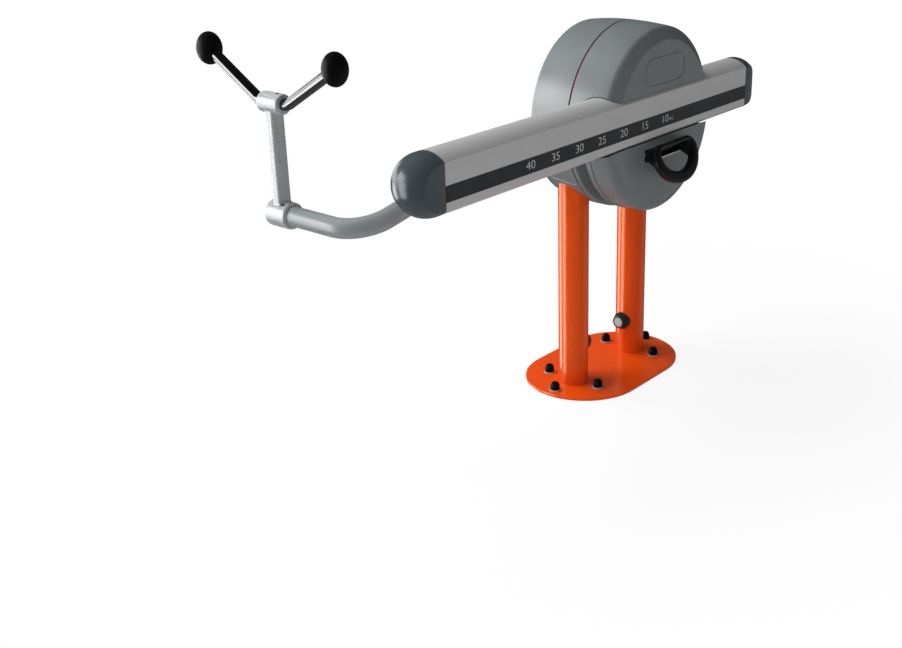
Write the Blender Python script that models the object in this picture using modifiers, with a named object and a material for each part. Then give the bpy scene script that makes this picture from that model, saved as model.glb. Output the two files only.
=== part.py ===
# Outdoor fitness station: two posts carry a drum with a turning front half, a sliding
# weight beam through it, and a hand lever with a two-grip handle behind it.
# Metres. The origin is the centre of the base plate on the ground. +X runs along the
# beam to its weighted end, +Y to the back and +Z up.

import math

import bmesh
import bpy
from mathutils import Matrix, Vector

# Clearances
SEAT_GAP = 0.0003           # between pieces that are fastened together
RUNNING_GAP = 0.0005        # between pieces that turn or slide on each other
SHELL_WALL = 0.004          # moulded covers

# Base plate
PLATE_STRAIGHT = 0.210      # straight part of the long sides
PLATE_WIDTH = 0.410
PLATE_THICKNESS = 0.010
PLATE_EDGE = 0.002          # rounding of the rim

# Posts
POST_SPACING = 0.340
POST_DIAMETER = 0.1016
POST_WALL = 0.0036
POST_ABOVE_AXLE = 0.0913    # top of the posts, inside the drum

# Ground fixings
BOLT_DISTANCE = 0.104       # from a post's centre to each of its bolts
STUD_DIAMETER = 0.014
NUT_ACROSS = 0.022
NUT_HEIGHT = 0.012
WASHER_DIAMETER = 0.038
WASHER_THICKNESS = 0.003
CAP_DIAMETER = 0.034
CAP_HEIGHT = 0.030
CAP_WALL = 0.002

# Round grips low on the posts
KNOB_HEIGHT = 0.135
KNOB_BASE_DIAMETER = 0.061
KNOB_TOP_DIAMETER = 0.048
KNOB_DEPTH = 0.024
DISC_DIAMETER = 0.033
DISC_THICKNESS = 0.002

# Main axle and its bearings
HUB_HEIGHT = 0.919
AXLE_DIAMETER = 0.040
FLANGE_DIAMETER = 0.110
FLANGE_THICKNESS = 0.005
HOUSING_DIAMETER = 0.100
BEARING_DIAMETER = 0.072
BEARING_WIDTH = 0.018
FRAME_PLATE = 0.006
FRAME_ABOVE_AXLE = 0.091
FRAME_WIDTH_SHARE = 0.55    # half width, as a share of the drum's radius
FRAME_DEPTH_SHARE = 0.73    # reach below the axle, as a share of the drum's radius

# Stops of the lever
SWING_DEGREES = 38.0
STOP_ABOVE_FOOT = 0.019     # from the bearing frame's foot to where the buffers meet the arm
STOP_ARM_WIDTH = 0.028
STOP_ARM_THICKNESS = 0.010
BUFFER_THICKNESS = 0.022
BUFFER_LENGTH = 0.030
BRACKET_THICKNESS = 0.010

# Drum: places along the axle are counted forward from the posts' plane
DRUM_RADIUS = 0.300
DRUM_CROWN = 0.010          # fall of the radius from the seam to the rear corner
DRUM_REAR = 0.092           # depth behind the posts' plane
REAR_CORNER = 0.030
SEAM_FORWARD = 0.070
SEAM_GAP = 0.003
REAR_HOLE_DIAMETER = 0.096
PANEL_HALF_LENGTH = 0.062
PANEL_HALF_WIDTH = 0.058
PANEL_GAP = 0.0008

# Front half of the drum
FACE_FORWARD = 0.231
CHAMFER_FORWARD = 0.207
COVER_STEP = 0.006          # from the drum's radius to the chamfer's outer edge
FACE_STEP = 0.043           # from the drum's radius to the flat face
CARRIAGE_THICKNESS = 0.010
GROOVE_DEPTH = 0.040        # below the drum's radius
GROOVE_START = 0.088
GROOVE_END = 0.128
TRIM_WIDTH = 0.019
TRIM_STEP = 0.004           # from the drum's radius to the trim ring
LOWER_STEP = 0.006          # from the drum's radius to the lower cover
LOWER_FACE_STEP = 0.055     # from the drum's radius to the lower cover's flat face
LOWER_ROUND = 0.026         # soft chamfer of the lower cover

# Plain panel on the upper cover
BADGE_LENGTH = 0.216
BADGE_HEIGHT = 0.082
BADGE_CORNER = 0.036
BADGE_ABOVE_AXLE = 0.164
BADGE_ACROSS = 0.004
BADGE_THICKNESS = 0.0012
BADGE_RECESS = 0.0015
BADGE_GROOVE = 0.0012

# Weight beam: D-shaped section with its flat side forward
BEAM_RADIUS = 0.0885
BEAM_FORWARD = 0.176
BEAM_ABOVE_AXLE = 0.025
BEAM_FLAT = 0.060           # from the section's centre to the flat side
BEAM_WALL = 0.004
BEAM_LEFT = 1.036
BEAM_RIGHT = 0.507
STRIP_LOW = 0.0430          # below the section's centre
STRIP_HIGH = 0.0030         # above the section's centre
STRIP_DEPTH = 0.0012
INDEX_PITCH = 0.114
INDEX_COUNT = 7
INDEX_DIAMETER = 0.018
CAP_STRAIGHT = 0.014
SPIGOT_LENGTH = 0.022
SPIGOT_WALL = 0.004
END_CAP_WALL = 0.007
RIGHT_CAP_LENGTH = 0.050
RIGHT_CAP_ROUND = 0.022
WEIGHT_LENGTH = 0.330
TUNNEL_UPPER_GAP = 0.003
TUNNEL_LOWER_GAP = 0.0055

# Beam guides
GUIDE_LENGTH = 0.300
GUIDE_WALL = 0.016
GLIDE_WALL = 0.0046
GLIDE_GAP = 0.0004
GUIDE_WRAP_UPPER = 110.0
GUIDE_WRAP_LOWER = 98.0

# Release handle
HANDLE_PIVOT_FORWARD = 0.228
HANDLE_BELOW_AXLE = 0.092   # from the axle to the handle's pivot
HANDLE_KNUCKLE_STEP = 0.010  # from the grip's side bar to the knuckle's middle
HANDLE_TILT_DEGREES = 26.0
HANDLE_TOP_FORWARD = 0.259
HANDLE_TOP_RISE = 0.015     # from the pivot to the top bar's centre
HANDLE_DROP = 0.112         # from the top bar's centre to the grip's centre
HANDLE_HALF_WIDTH = 0.084
HANDLE_THICKNESS = 0.025
HANDLE_DEPTH = 0.030
HANDLE_CORNER = 0.026
KNUCKLE_DIAMETER = 0.030
KNUCKLE_WIDTH = 0.018
HANDLE_PIN_DIAMETER = 0.008
HANDLE_LUG = 0.006
POCKET_BELOW_PIVOT = 0.026
POCKET_ABOVE_PIVOT = 0.005
POCKET_INSET = 0.006        # from the grip's side bar to the pocket's end
POCKET_DEPTH = 0.022
CRANK_LENGTH = 0.052
CRANK_PLATE = 0.006
CRANK_BAR_DIAMETER = 0.010
CRANK_PIN_DIAMETER = 0.006
CRANK_FORK_OFFSET = 0.018
CRANK_BAR_BEHIND = 0.0315

# Locking pawl under the beam
PAWL_DIAMETER = 0.014
PAWL_LENGTH = 0.105
PAWL_TIP_GAP = 0.0005
COLLAR_DIAMETER = 0.030
COLLAR_HEIGHT = 0.005
PAWL_GUIDE_LENGTH = 0.034
PAWL_GUIDE_WALL = 0.006
PAWL_GUIDE_DROP = 0.064     # from the beam's underside to the guide's top

# Hand lever
TUBE_DIAMETER = 0.0603
TUBE_WALL = 0.003
LEVER_BEHIND = 0.128        # plane of the lever behind the posts
LEVER_REACH = 1.000
LEVER_FALL_DEGREES = 10.5
BEND_RADIUS = 0.110
LINK_BEHIND = 0.450
BOSS_DIAMETER = 0.112
BOSS_LENGTH = 0.070

# Link between the lever and the grips
SOCKET_DIAMETER = 0.081
SOCKET_LENGTH = 0.089
SOCKET_FLOOR = 0.010
SOCKET_ROUND = 0.012
SLEEVE_DIAMETER = 0.061
SLEEVE_LENGTH = 0.088
SLEEVE_RISE = 0.331         # from the socket's axis to the sleeve's axis
LINK_WIDTH = 0.048
LINK_DEPTH = 0.040
LINK_CORNER = 0.016
SET_SCREW_DIAMETER = 0.010
SET_SCREW_LENGTH = 0.009

# Grips
GRIP_DIAMETER = 0.0337
GRIP_WALL = 0.003
GRIP_HALF_SPAN = 0.264      # from the sleeve's centre to a ball's centre
GRIP_RISE = 0.127
GRIP_STRAIGHT = 0.050
GRIP_BEND = 0.050
BALL_DIAMETER = 0.097
BALL_THICKNESS = 0.077
BALL_SOCKET = 0.030         # how far a tube goes in past a ball's surface

# Flats round the turned pieces, by size
DRUM_SIDES = 48
LARGE_SIDES = 32
LINK_SIDES = 28
MEDIUM_SIDES = 20
SMALL_SIDES = 12

# Places worked out from the sizes
POST_RADIUS = POST_DIAMETER / 2
POST_HEIGHT = HUB_HEIGHT + POST_ABOVE_AXLE - PLATE_THICKNESS - SEAT_GAP
FRAME_HALF_WIDTH = FRAME_WIDTH_SHARE * DRUM_RADIUS
FRAME_BELOW_AXLE = FRAME_DEPTH_SHARE * DRUM_RADIUS
STOP_RADIUS = FRAME_BELOW_AXLE - STOP_ABOVE_FOOT
COVER_RADIUS = DRUM_RADIUS - COVER_STEP
FACE_RADIUS = DRUM_RADIUS - FACE_STEP
GROOVE_RADIUS = DRUM_RADIUS - GROOVE_DEPTH
TRIM_RADIUS = DRUM_RADIUS - TRIM_STEP
LOWER_RADIUS = DRUM_RADIUS - LOWER_STEP
BEAM_HEIGHT = HUB_HEIGHT + BEAM_ABOVE_AXLE
HANDLE_PIVOT_HEIGHT = HUB_HEIGHT - HANDLE_BELOW_AXLE
HANDLE_TOP_HEIGHT = HANDLE_PIVOT_HEIGHT + HANDLE_TOP_RISE
HANDLE_HALF_SPAN = HANDLE_HALF_WIDTH + HANDLE_KNUCKLE_STEP
POCKET_HALF_LENGTH = HANDLE_HALF_WIDTH - POCKET_INSET
POCKET_LOW = HANDLE_PIVOT_HEIGHT - POCKET_BELOW_PIVOT
POCKET_HIGH = HANDLE_PIVOT_HEIGHT + POCKET_ABOVE_PIVOT
BEAM_CENTRE = Vector((0.0, -BEAM_FORWARD, BEAM_HEIGHT))
HUB = Vector((0.0, 0.0, HUB_HEIGHT))
FRAME_FACE = POST_RADIUS + SEAT_GAP + FRAME_PLATE
FRONT_START = SEAM_FORWARD + SEAM_GAP
CARRIAGE_BACK = FRONT_START + 0.0012
CARRIAGE_FRONT = CARRIAGE_BACK + CARRIAGE_THICKNESS
TRIM_END = GROOVE_END + TRIM_WIDTH
SWING = math.radians(SWING_DEGREES)
FALL = math.radians(LEVER_FALL_DEGREES)
LINK_LOW = Vector((-LEVER_REACH, LINK_BEHIND, HUB_HEIGHT - LEVER_REACH * math.tan(FALL)))
LINK_HIGH = LINK_LOW + Vector((0.0, 0.0, SLEEVE_RISE))
HANDLE_PIVOT = Vector((0.0, -HANDLE_PIVOT_FORWARD, HANDLE_PIVOT_HEIGHT))
UNDERSIDE = BEAM_HEIGHT - BEAM_RADIUS

# Local axes of a turned or extruded shape: the third row of each is its length
FACING = {
    "X": Matrix(((0, 0, 1), (1, 0, 0), (0, 1, 0))).to_4x4(),
    "Y": Matrix(((1, 0, 0), (0, 0, -1), (0, 1, 0))).to_4x4(),
    "Z": Matrix.Identity(4),
}


def clear_scene():
    for thing in list(bpy.data.objects):
        bpy.data.objects.remove(thing, do_unlink=True)


def make_collection(name):
    group = bpy.data.collections.new(name)
    bpy.context.scene.collection.children.link(group)
    return group


clear_scene()
STATION = make_collection("fitness_station")
CUTTERS = make_collection("cutters")


def make_material(name, color, roughness, metallic=0.0):
    finish = bpy.data.materials.new(name)
    finish.use_nodes = True
    shader = finish.node_tree.nodes["Principled BSDF"]
    shader.inputs["Base Color"].default_value = (*color, 1.0)
    shader.inputs["Roughness"].default_value = roughness
    shader.inputs["Metallic"].default_value = metallic
    return finish


FINISHES = {
    "orange_paint": ((0.85, 0.13, 0.01), 0.40, 0.0),
    "grey_cover": ((0.12, 0.14, 0.15), 0.50, 0.0),
    "grey_paint": ((0.16, 0.19, 0.20), 0.42, 0.0),
    "beam_aluminium": ((0.34, 0.34, 0.34), 0.45, 0.6),
    "scale_black": ((0.025, 0.027, 0.03), 0.55, 0.0),
    "slate_plastic": ((0.04, 0.055, 0.065), 0.25, 0.0),
    "black_plastic": ((0.012, 0.012, 0.012), 0.35, 0.0),
    "black_rubber": ((0.015, 0.015, 0.015), 0.75, 0.0),
    "silver_casting": ((0.45, 0.47, 0.48), 0.40, 0.5),
    "chrome": ((0.80, 0.80, 0.82), 0.08, 1.0),
    "zinc_steel": ((0.55, 0.56, 0.57), 0.35, 0.9),
    "dark_steel": ((0.10, 0.10, 0.11), 0.50, 0.8),
    "glide_plastic": ((0.75, 0.75, 0.72), 0.50, 0.0),
}


def finish(thing, name):
    # Each piece has a material of its own, named for the piece
    color, roughness, metallic = FINISHES[name]
    thing.data.materials.clear()
    thing.data.materials.append(make_material(thing.name, color, roughness, metallic))
    return thing


def place(name, mesh, turn, centre, group):
    thing = bpy.data.objects.new(name, mesh)
    group.objects.link(thing)
    rotation = turn if isinstance(turn, Matrix) else FACING[turn]
    thing.matrix_world = Matrix.Translation(centre) @ rotation
    return thing


def hide_cutter(thing):
    thing.hide_render = True
    thing.display_type = "WIRE"
    return thing


def from_bmesh(name, shape, turn, centre, group):
    mesh = bpy.data.meshes.new(name)
    shape.to_mesh(mesh)
    shape.free()
    return place(name, mesh, turn, centre, group)


def smooth(thing, angle=35.0):
    thing.data.shade_smooth()
    thing.data.set_sharp_from_angle(angle=math.radians(angle))
    return thing


def box(name, low, high, group=STATION, turn=Matrix.Identity(4), about=Vector()):
    # A block between two corners, turned about a point where it isn't square to the axes
    shape = bmesh.new()
    bmesh.ops.create_cube(shape, size=1.0)
    low = Vector(low)
    high = Vector(high)
    for point in shape.verts:
        point.co = (low + high) / 2 + Vector(a * b for a, b in zip(point.co, high - low))
    return from_bmesh(name, shape, turn, about, group)


def rod(name, radius, start, end, group=STATION, sides=32):
    # A plain round bar from one point to another
    start = Vector(start)
    end = Vector(end)
    shape = bmesh.new()
    bmesh.ops.create_cone(shape, cap_ends=True, segments=sides, radius1=radius, radius2=radius,
                          depth=(end - start).length)
    turn = Vector((0.0, 0.0, 1.0)).rotation_difference(end - start).to_matrix().to_4x4()
    return smooth(from_bmesh(name, shape, turn, (start + end) / 2, group))


def turned(name, profile, axis, centre, steps=48, closed=True, group=STATION):
    # profile holds (radius, height) and runs down the outer side; closed joins its ends
    mesh = bpy.data.meshes.new(name)
    edges = [(i, i + 1) for i in range(len(profile) - 1)]
    if closed:
        edges.append((len(profile) - 1, 0))
    mesh.from_pydata([(radius, 0.0, height) for radius, height in profile], edges, [])
    thing = place(name, mesh, axis, centre, group)
    screw = thing.modifiers.new("turn", "SCREW")
    screw.steps = steps
    screw.render_steps = steps
    screw.use_merge_vertices = True
    screw.merge_threshold = 0.00001
    return thing


def outline_curve(name, outlines, thickness):
    curve = bpy.data.curves.new(name, "CURVE")
    curve.dimensions = "2D"
    curve.fill_mode = "BOTH"
    curve.extrude = thickness / 2
    for outline in outlines:
        spline = curve.splines.new("POLY")
        spline.points.add(len(outline) - 1)
        for point, (across, up) in zip(spline.points, outline):
            point.co = (across, up, 0.0, 1.0)
        spline.use_cyclic_u = True
    return curve


def curve_to_mesh(thing):
    # The curve's caps are loose until its doubled points are merged
    evaluated = thing.evaluated_get(bpy.context.evaluated_depsgraph_get())
    mesh = bpy.data.meshes.new_from_object(evaluated)
    shape = bmesh.new()
    shape.from_mesh(mesh)
    bmesh.ops.remove_doubles(shape, verts=shape.verts, dist=0.000005)
    bmesh.ops.recalc_face_normals(shape, faces=shape.faces)
    shape.to_mesh(mesh)
    shape.free()
    name = thing.name
    group = thing.users_collection[0]
    matrix = thing.matrix_world.copy()
    bpy.data.objects.remove(thing, do_unlink=True)
    mesh.name = name
    return place(name, mesh, matrix.to_3x3().to_4x4(), matrix.translation, group)


def extruded(name, outlines, axis, centre, thickness, group=STATION):
    curve = outline_curve(name, outlines, thickness)
    thing = place(name, curve, axis, centre, group)
    bpy.context.view_layer.update()
    return curve_to_mesh(thing)


def pipe(name, points, radius, group=STATION, resolution=8):
    curve = bpy.data.curves.new(name, "CURVE")
    curve.dimensions = "3D"
    curve.bevel_depth = radius
    curve.bevel_resolution = resolution
    curve.use_fill_caps = True
    spline = curve.splines.new("POLY")
    spline.points.add(len(points) - 1)
    for point, where in zip(spline.points, points):
        point.co = (*where, 1.0)
    thing = place(name, curve, "Z", Vector(), group)
    bpy.context.view_layer.update()
    return smooth(curve_to_mesh(thing))


def combine(thing, other, operation="DIFFERENCE"):
    # A live Boolean with a piece or cutter that the build leaves out
    if other.name not in CUTTERS.objects:
        for group in list(other.users_collection):
            group.objects.unlink(other)
        CUTTERS.objects.link(other)
    hide_cutter(other)
    step = thing.modifiers.new(other.name, "BOOLEAN")
    step.operation = operation
    step.solver = "EXACT"
    step.object = other
    return thing


def bevel(thing, width, segments=2, angle=40.0):
    step = thing.modifiers.new("edges", "BEVEL")
    step.width = width
    step.segments = segments
    step.limit_method = "ANGLE"
    step.angle_limit = math.radians(angle)
    return thing


def arc(radius, start, end, count, centre=(0.0, 0.0), stretch=1.0):
    # Points on an arc, angles in degrees; stretch flattens it in its second direction
    points = []
    for i in range(count):
        angle = math.radians(start + (end - start) * i / (count - 1))
        across = centre[0] + radius * math.cos(angle)
        up = centre[1] + stretch * radius * math.sin(angle)
        points.append((across, up))
    return points


def circle(radius, count, centre=(0.0, 0.0)):
    return arc(radius, 0, 360 - 360 / count, count, centre)


def rounded_rectangle(width, height, corner, count=6):
    points = []
    for quarter in range(4):
        side = 1 if quarter in (0, 3) else -1
        rise = 1 if quarter in (0, 1) else -1
        middle = (side * (width / 2 - corner), rise * (height / 2 - corner))
        points += arc(corner, 90 * quarter, 90 * (quarter + 1), count, middle)
    return points


def bend_path(corner, first, second, radius, count=10):
    # Points of a fillet arc of a path that comes from first, turns at corner and goes to second
    corner = Vector(corner)
    to_first = (Vector(first) - corner).normalized()
    to_second = (Vector(second) - corner).normalized()
    half = to_first.angle(to_second) / 2
    middle = corner + (to_first + to_second).normalized() * radius / math.sin(half)
    reach = radius / math.tan(half)
    start = corner + to_first * reach - middle
    end = corner + to_second * reach - middle
    return [middle + start.slerp(end, i / (count - 1)) * radius / start.slerp(end, i / (count - 1)).length
            for i in range(count)]


def make_pivot(name, where):
    pivot = bpy.data.objects.new(name, None)
    STATION.objects.link(pivot)
    pivot.location = where
    return pivot


def carry(pivot, *pieces):
    # Parent the pieces to a pivot and leave them where they are
    home = Matrix.Translation(pivot.location).inverted()
    for piece in pieces:
        piece.parent = pivot
        piece.matrix_parent_inverse = home


def drum_crown(forward):
    # Outer radius of the rear shell: it falls from the seam to the rear corner
    start = DRUM_REAR - REAR_CORNER
    share = (SEAM_FORWARD - forward) / (SEAM_FORWARD + start)
    return DRUM_RADIUS - DRUM_CROWN * share * share


def along_hub(forward):
    return HUB + Vector((0.0, -forward, 0.0))


def tunnel_cutter(name, gap):
    # The space that the beam slides through, with its clearance all round
    outline = circle(BEAM_RADIUS + gap, LARGE_SIDES)
    return hide_cutter(extruded(name, [outline], "X", BEAM_CENTRE, 3 * DRUM_RADIUS, CUTTERS))


# Base plate and posts

def base_plate():
    end = PLATE_WIDTH / 2
    outline = arc(end, -90, 90, 20, (PLATE_STRAIGHT / 2, 0.0))
    outline += arc(end, 90, 270, 20, (-PLATE_STRAIGHT / 2, 0.0))
    outlines = [outline]
    for where in bolt_places():
        outlines.append(circle(STUD_DIAMETER / 2 + 2 * RUNNING_GAP, 8, (where.x, where.y)))
    plate = extruded("base_plate", outlines, "Z", (0, 0, PLATE_THICKNESS / 2), PLATE_THICKNESS)
    bevel(plate, PLATE_EDGE, 1, 60)
    return finish(plate, "orange_paint")


def post(name, side):
    outer = POST_RADIUS
    inner = outer - POST_WALL
    bottom = PLATE_THICKNESS + SEAT_GAP
    profile = [(outer, POST_HEIGHT), (outer, 0.0), (inner, 0.0), (inner, POST_HEIGHT)]
    thing = turned(name, profile, "Z", (side * POST_SPACING / 2, 0, bottom), LARGE_SIDES)
    return finish(thing, "orange_paint")


def bolt_places():
    # Three bolts for each post: in front of it, behind it and outside it
    places = []
    for side in (-1, 1):
        x = side * POST_SPACING / 2
        places.append(Vector((x, -BOLT_DISTANCE, 0.0)))
        places.append(Vector((x, BOLT_DISTANCE, 0.0)))
        places.append(Vector((x + side * BOLT_DISTANCE, 0.0, 0.0)))
    return places


def anchor_bolt(number, where):
    # Stud with its washer and nut; the washer's bright rim shows beside the cap
    washer = PLATE_THICKNESS + SEAT_GAP
    nut = washer + WASHER_THICKNESS
    stud = STUD_DIAMETER / 2
    nut_radius = NUT_ACROSS / 2
    top = nut + NUT_HEIGHT
    profile = [(0.0, top), (nut_radius, top), (nut_radius, nut), (WASHER_DIAMETER / 2, nut),
               (WASHER_DIAMETER / 2, washer), (stud, washer), (stud, SEAT_GAP), (0.0, SEAT_GAP)]
    bolt = turned(f"anchor_bolt_{number}", profile, "Z", where, SMALL_SIDES, closed=False)
    return finish(bolt, "zinc_steel")


def bolt_cap(number, where):
    outer = CAP_DIAMETER / 2
    foot = PLATE_THICKNESS + SEAT_GAP + WASHER_THICKNESS + SEAT_GAP
    straight = CAP_HEIGHT - outer
    inner = outer - CAP_WALL
    profile = arc(outer, 90, 0, 4, (0.0, straight))
    profile += [(outer, 0.0), (inner, 0.0)]
    profile += arc(inner, 0, 90, 2, (0.0, straight))
    profile[0] = (0.0, CAP_HEIGHT)
    profile[-1] = (0.0, straight + inner)
    cap = turned(f"bolt_cap_{number}", profile, "Z", where + Vector((0, 0, foot)), SMALL_SIDES,
                 closed=False)
    return finish(cap, "black_plastic")


def post_knob(name, side):
    # A tapered round knob that faces the other post, with a saddle seat on its own post
    top = KNOB_TOP_DIAMETER / 2
    base = KNOB_BASE_DIAMETER / 2
    seat = POST_RADIUS - POST_RADIUS / 2
    end = POST_RADIUS + KNOB_DEPTH
    recess = end - DISC_THICKNESS
    disc = DISC_DIAMETER / 2 + SEAT_GAP
    outer = [(0.0, recess), (disc, recess), (disc, end), (top - 0.003, end), (top, end - 0.003),
             (base, POST_RADIUS + 0.006), (base, seat), (0.0, seat)]
    knob = turned(name, outer, "X", (0, 0, 0), MEDIUM_SIDES, closed=False)
    saddle = rod(f"{name}_saddle", POST_RADIUS + SEAT_GAP, (0, 0, -0.1), (0, 0, 0.1), CUTTERS,
                 LARGE_SIDES)
    combine(knob, saddle)
    turn_knob(knob, side)
    turn_knob(saddle, side)
    return finish(knob, "black_plastic")


def turn_knob(thing, side):
    # side is -1 for the left post, whose knob points to +X
    half_turn = Matrix.Rotation(math.pi if side > 0 else 0.0, 4, "Z")
    where = Vector((side * POST_SPACING / 2, 0.0, KNOB_HEIGHT))
    thing.matrix_world = Matrix.Translation(where) @ half_turn @ thing.matrix_world


def knob_disc(name, side):
    end = POST_RADIUS + KNOB_DEPTH
    radius = DISC_DIAMETER / 2
    low = end - DISC_THICKNESS + SEAT_GAP
    profile = [(0.0, end), (radius, end), (radius, low), (0.0, low)]
    disc = turned(name, profile, "X", (0, 0, 0), MEDIUM_SIDES, closed=False)
    turn_knob(disc, side)
    return finish(disc, "zinc_steel")


# Frame, bearings and stops inside the drum

def stop_direction(sign):
    # Unit vectors along the stop arm and across it, at the rest end (-1) or the far end (1)
    half = SWING / 2
    along = Vector((sign * math.sin(half), 0.0, -math.cos(half)))
    across = Vector((sign * math.cos(half), 0.0, math.sin(half)))
    return along, across


def stop_block(name, sign, offset, thickness, length, back, front, group):
    # A block beside the stop arm, square to it; offset runs from the arm's centre line
    along, across = stop_direction(sign)
    centre = along * STOP_RADIUS + across * (offset + thickness / 2)
    turn = Matrix.Rotation(-sign * SWING / 2, 4, "Y")
    low = (-thickness / 2, -front, -length / 2)
    high = (thickness / 2, -back, length / 2)
    return box(name, low, high, group, turn, HUB + centre)


def bearing_frame():
    outer = HOUSING_DIAMETER / 2
    inner = BEARING_DIAMETER / 2 + SEAT_GAP
    profile = [(outer, FRAME_FACE), (outer, -FRAME_FACE), (inner, -FRAME_FACE), (inner, FRAME_FACE)]
    frame = turned("bearing_frame", profile, "Y", HUB, MEDIUM_SIDES)
    height = FRAME_ABOVE_AXLE + FRAME_BELOW_AXLE
    middle = HUB_HEIGHT + (FRAME_ABOVE_AXLE - FRAME_BELOW_AXLE) / 2
    shift = HUB_HEIGHT - middle
    hole = circle((outer + inner) / 2, MEDIUM_SIDES, (0.0, shift))
    outline = rounded_rectangle(2 * FRAME_HALF_WIDTH, height, 0.025, 4)
    for name, side in (("front_plate", -1), ("rear_plate", 1)):
        centre = (0.0, side * (FRAME_FACE - FRAME_PLATE / 2), middle)
        plate = extruded(name, [outline, hole], "Y", centre, FRAME_PLATE - 0.0002, CUTTERS)
        combine(frame, plate, "UNION")
    offset = STOP_ARM_WIDTH / 2 + BUFFER_THICKNESS + 2 * SEAT_GAP
    for name, sign in (("rest_bracket", -1), ("far_bracket", 1)):
        bracket = stop_block(name, sign, offset, BRACKET_THICKNESS, BUFFER_LENGTH * 1.2,
                             FRAME_FACE - FRAME_PLATE / 2, FRAME_FACE + STOP_ARM_THICKNESS + 0.001,
                             CUTTERS)
        combine(frame, bracket, "UNION")
    return finish(frame, "dark_steel")


def stop_buffer(name, sign):
    back = FRAME_FACE + SEAT_GAP
    offset = STOP_ARM_WIDTH / 2 + SEAT_GAP
    buffer = stop_block(name, sign, offset, BUFFER_THICKNESS, BUFFER_LENGTH, back,
                        back + STOP_ARM_THICKNESS, STATION)
    bevel(buffer, 0.002, 2)
    return finish(buffer, "black_rubber")


def bearing(name, side):
    outer = BEARING_DIAMETER / 2
    inner = AXLE_DIAMETER / 2 + RUNNING_GAP
    high = BEARING_WIDTH / 2
    groove = (outer + inner) / 2
    profile = [(outer, high), (outer, -high), (groove, -high + 0.001), (inner, -high), (inner, high),
               (groove, high - 0.001)]
    centre = along_hub(-side * (FRAME_FACE - BEARING_WIDTH / 2 - 0.001))
    return finish(turned(name, profile, "Y", centre, MEDIUM_SIDES), "zinc_steel")


def axle():
    radius = AXLE_DIAMETER / 2
    flange = FLANGE_DIAMETER / 2
    front = CARRIAGE_BACK - SEAT_GAP
    rear = -(LEVER_BEHIND + BOSS_LENGTH / 2 + 0.004)
    profile = [(0.0, front), (flange, front), (flange, front - FLANGE_THICKNESS + 0.001),
               (flange - 0.001, front - FLANGE_THICKNESS), (radius, front - FLANGE_THICKNESS),
               (radius, rear + 0.002), (radius - 0.002, rear), (0.0, rear)]
    return finish(turned("axle", profile, "Y", HUB, MEDIUM_SIDES, closed=False), "dark_steel")


def stop_arm():
    # A flat arm that hangs from the axle between the buffers
    front = CARRIAGE_BACK - SEAT_GAP - FLANGE_THICKNESS - SEAT_GAP
    back = front - STOP_ARM_THICKNESS + 0.0005
    half = STOP_ARM_WIDTH / 2
    head = FLANGE_DIAMETER / 2 - 0.010
    tip = STOP_RADIUS + BUFFER_LENGTH / 2 + 0.006
    spread = math.degrees(math.asin(half / head))
    outline = arc(head, -90 + spread, 270 - spread, MEDIUM_SIDES)
    outline += arc(half, 180, 360, 7, (0.0, -tip + half))
    bore = circle(AXLE_DIAMETER / 2 + 2 * SEAT_GAP, MEDIUM_SIDES)
    centre = along_hub((front + back) / 2)
    arm = extruded("stop_arm", [outline, bore], "Y", centre, front - back)
    turn = Matrix.Translation(HUB) @ Matrix.Rotation(SWING / 2, 4, "Y") @ Matrix.Translation(-HUB)
    arm.matrix_world = turn @ arm.matrix_world
    return finish(arm, "dark_steel")


# Drum covers

def rear_shell_profile():
    corner = DRUM_REAR - REAR_CORNER
    outside = []
    for i in range(4):
        forward = SEAM_FORWARD - (SEAM_FORWARD + corner) * i / 3
        outside.append((drum_crown(forward), forward))
    edge = drum_crown(-corner) - REAR_CORNER
    outside += arc(REAR_CORNER, 0, -90, 4, (edge, -corner))[1:]
    hole = REAR_HOLE_DIAMETER / 2
    outside.append((hole, -DRUM_REAR))
    inside = [(hole, -DRUM_REAR + SHELL_WALL)]
    inside += arc(REAR_CORNER - SHELL_WALL, -90, 0, 2, (edge, -corner))
    inside.append((drum_crown(SEAM_FORWARD) - SHELL_WALL, SEAM_FORWARD))
    return outside + inside


def post_hole(name, side):
    x = side * POST_SPACING / 2
    low = HUB_HEIGHT - DRUM_RADIUS - 0.02
    high = HUB_HEIGHT - BEARING_DIAMETER
    return rod(name, POST_RADIUS + 2 * RUNNING_GAP, (x, 0, low), (x, 0, high), CUTTERS, LARGE_SIDES)


def panel_box(name, side, gap):
    x = side * POST_SPACING / 2
    low = (x - PANEL_HALF_LENGTH - gap, -PANEL_HALF_WIDTH - gap, HUB_HEIGHT - DRUM_RADIUS - 0.02)
    high = (x + PANEL_HALF_LENGTH + gap, PANEL_HALF_WIDTH + gap, HUB_HEIGHT - 0.5 * DRUM_RADIUS)
    return hide_cutter(box(name, low, high, CUTTERS))


def rear_shell():
    shell = turned("rear_shell", rear_shell_profile(), "Y", HUB, DRUM_SIDES)
    for name, side in (("left", -1), ("right", 1)):
        combine(shell, panel_box(f"{name}_panel_opening", side, PANEL_GAP))
    return finish(shell, "grey_cover")


def post_panel(name, side):
    panel = turned(name, rear_shell_profile(), "Y", HUB, DRUM_SIDES)
    combine(panel, panel_box(f"{name}_edge", side, 0.0), "INTERSECT")
    combine(panel, post_hole(f"{name}_hole", side))
    return finish(panel, "grey_cover")


def carriage_plate():
    radius = TRIM_RADIUS - SHELL_WALL - 0.0005
    profile = [(0.0, CARRIAGE_FRONT), (radius, CARRIAGE_FRONT), (radius, CARRIAGE_BACK),
               (0.0, CARRIAGE_BACK)]
    return finish(turned("carriage_plate", profile, "Y", HUB, DRUM_SIDES, closed=False), "beam_aluminium")


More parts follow.
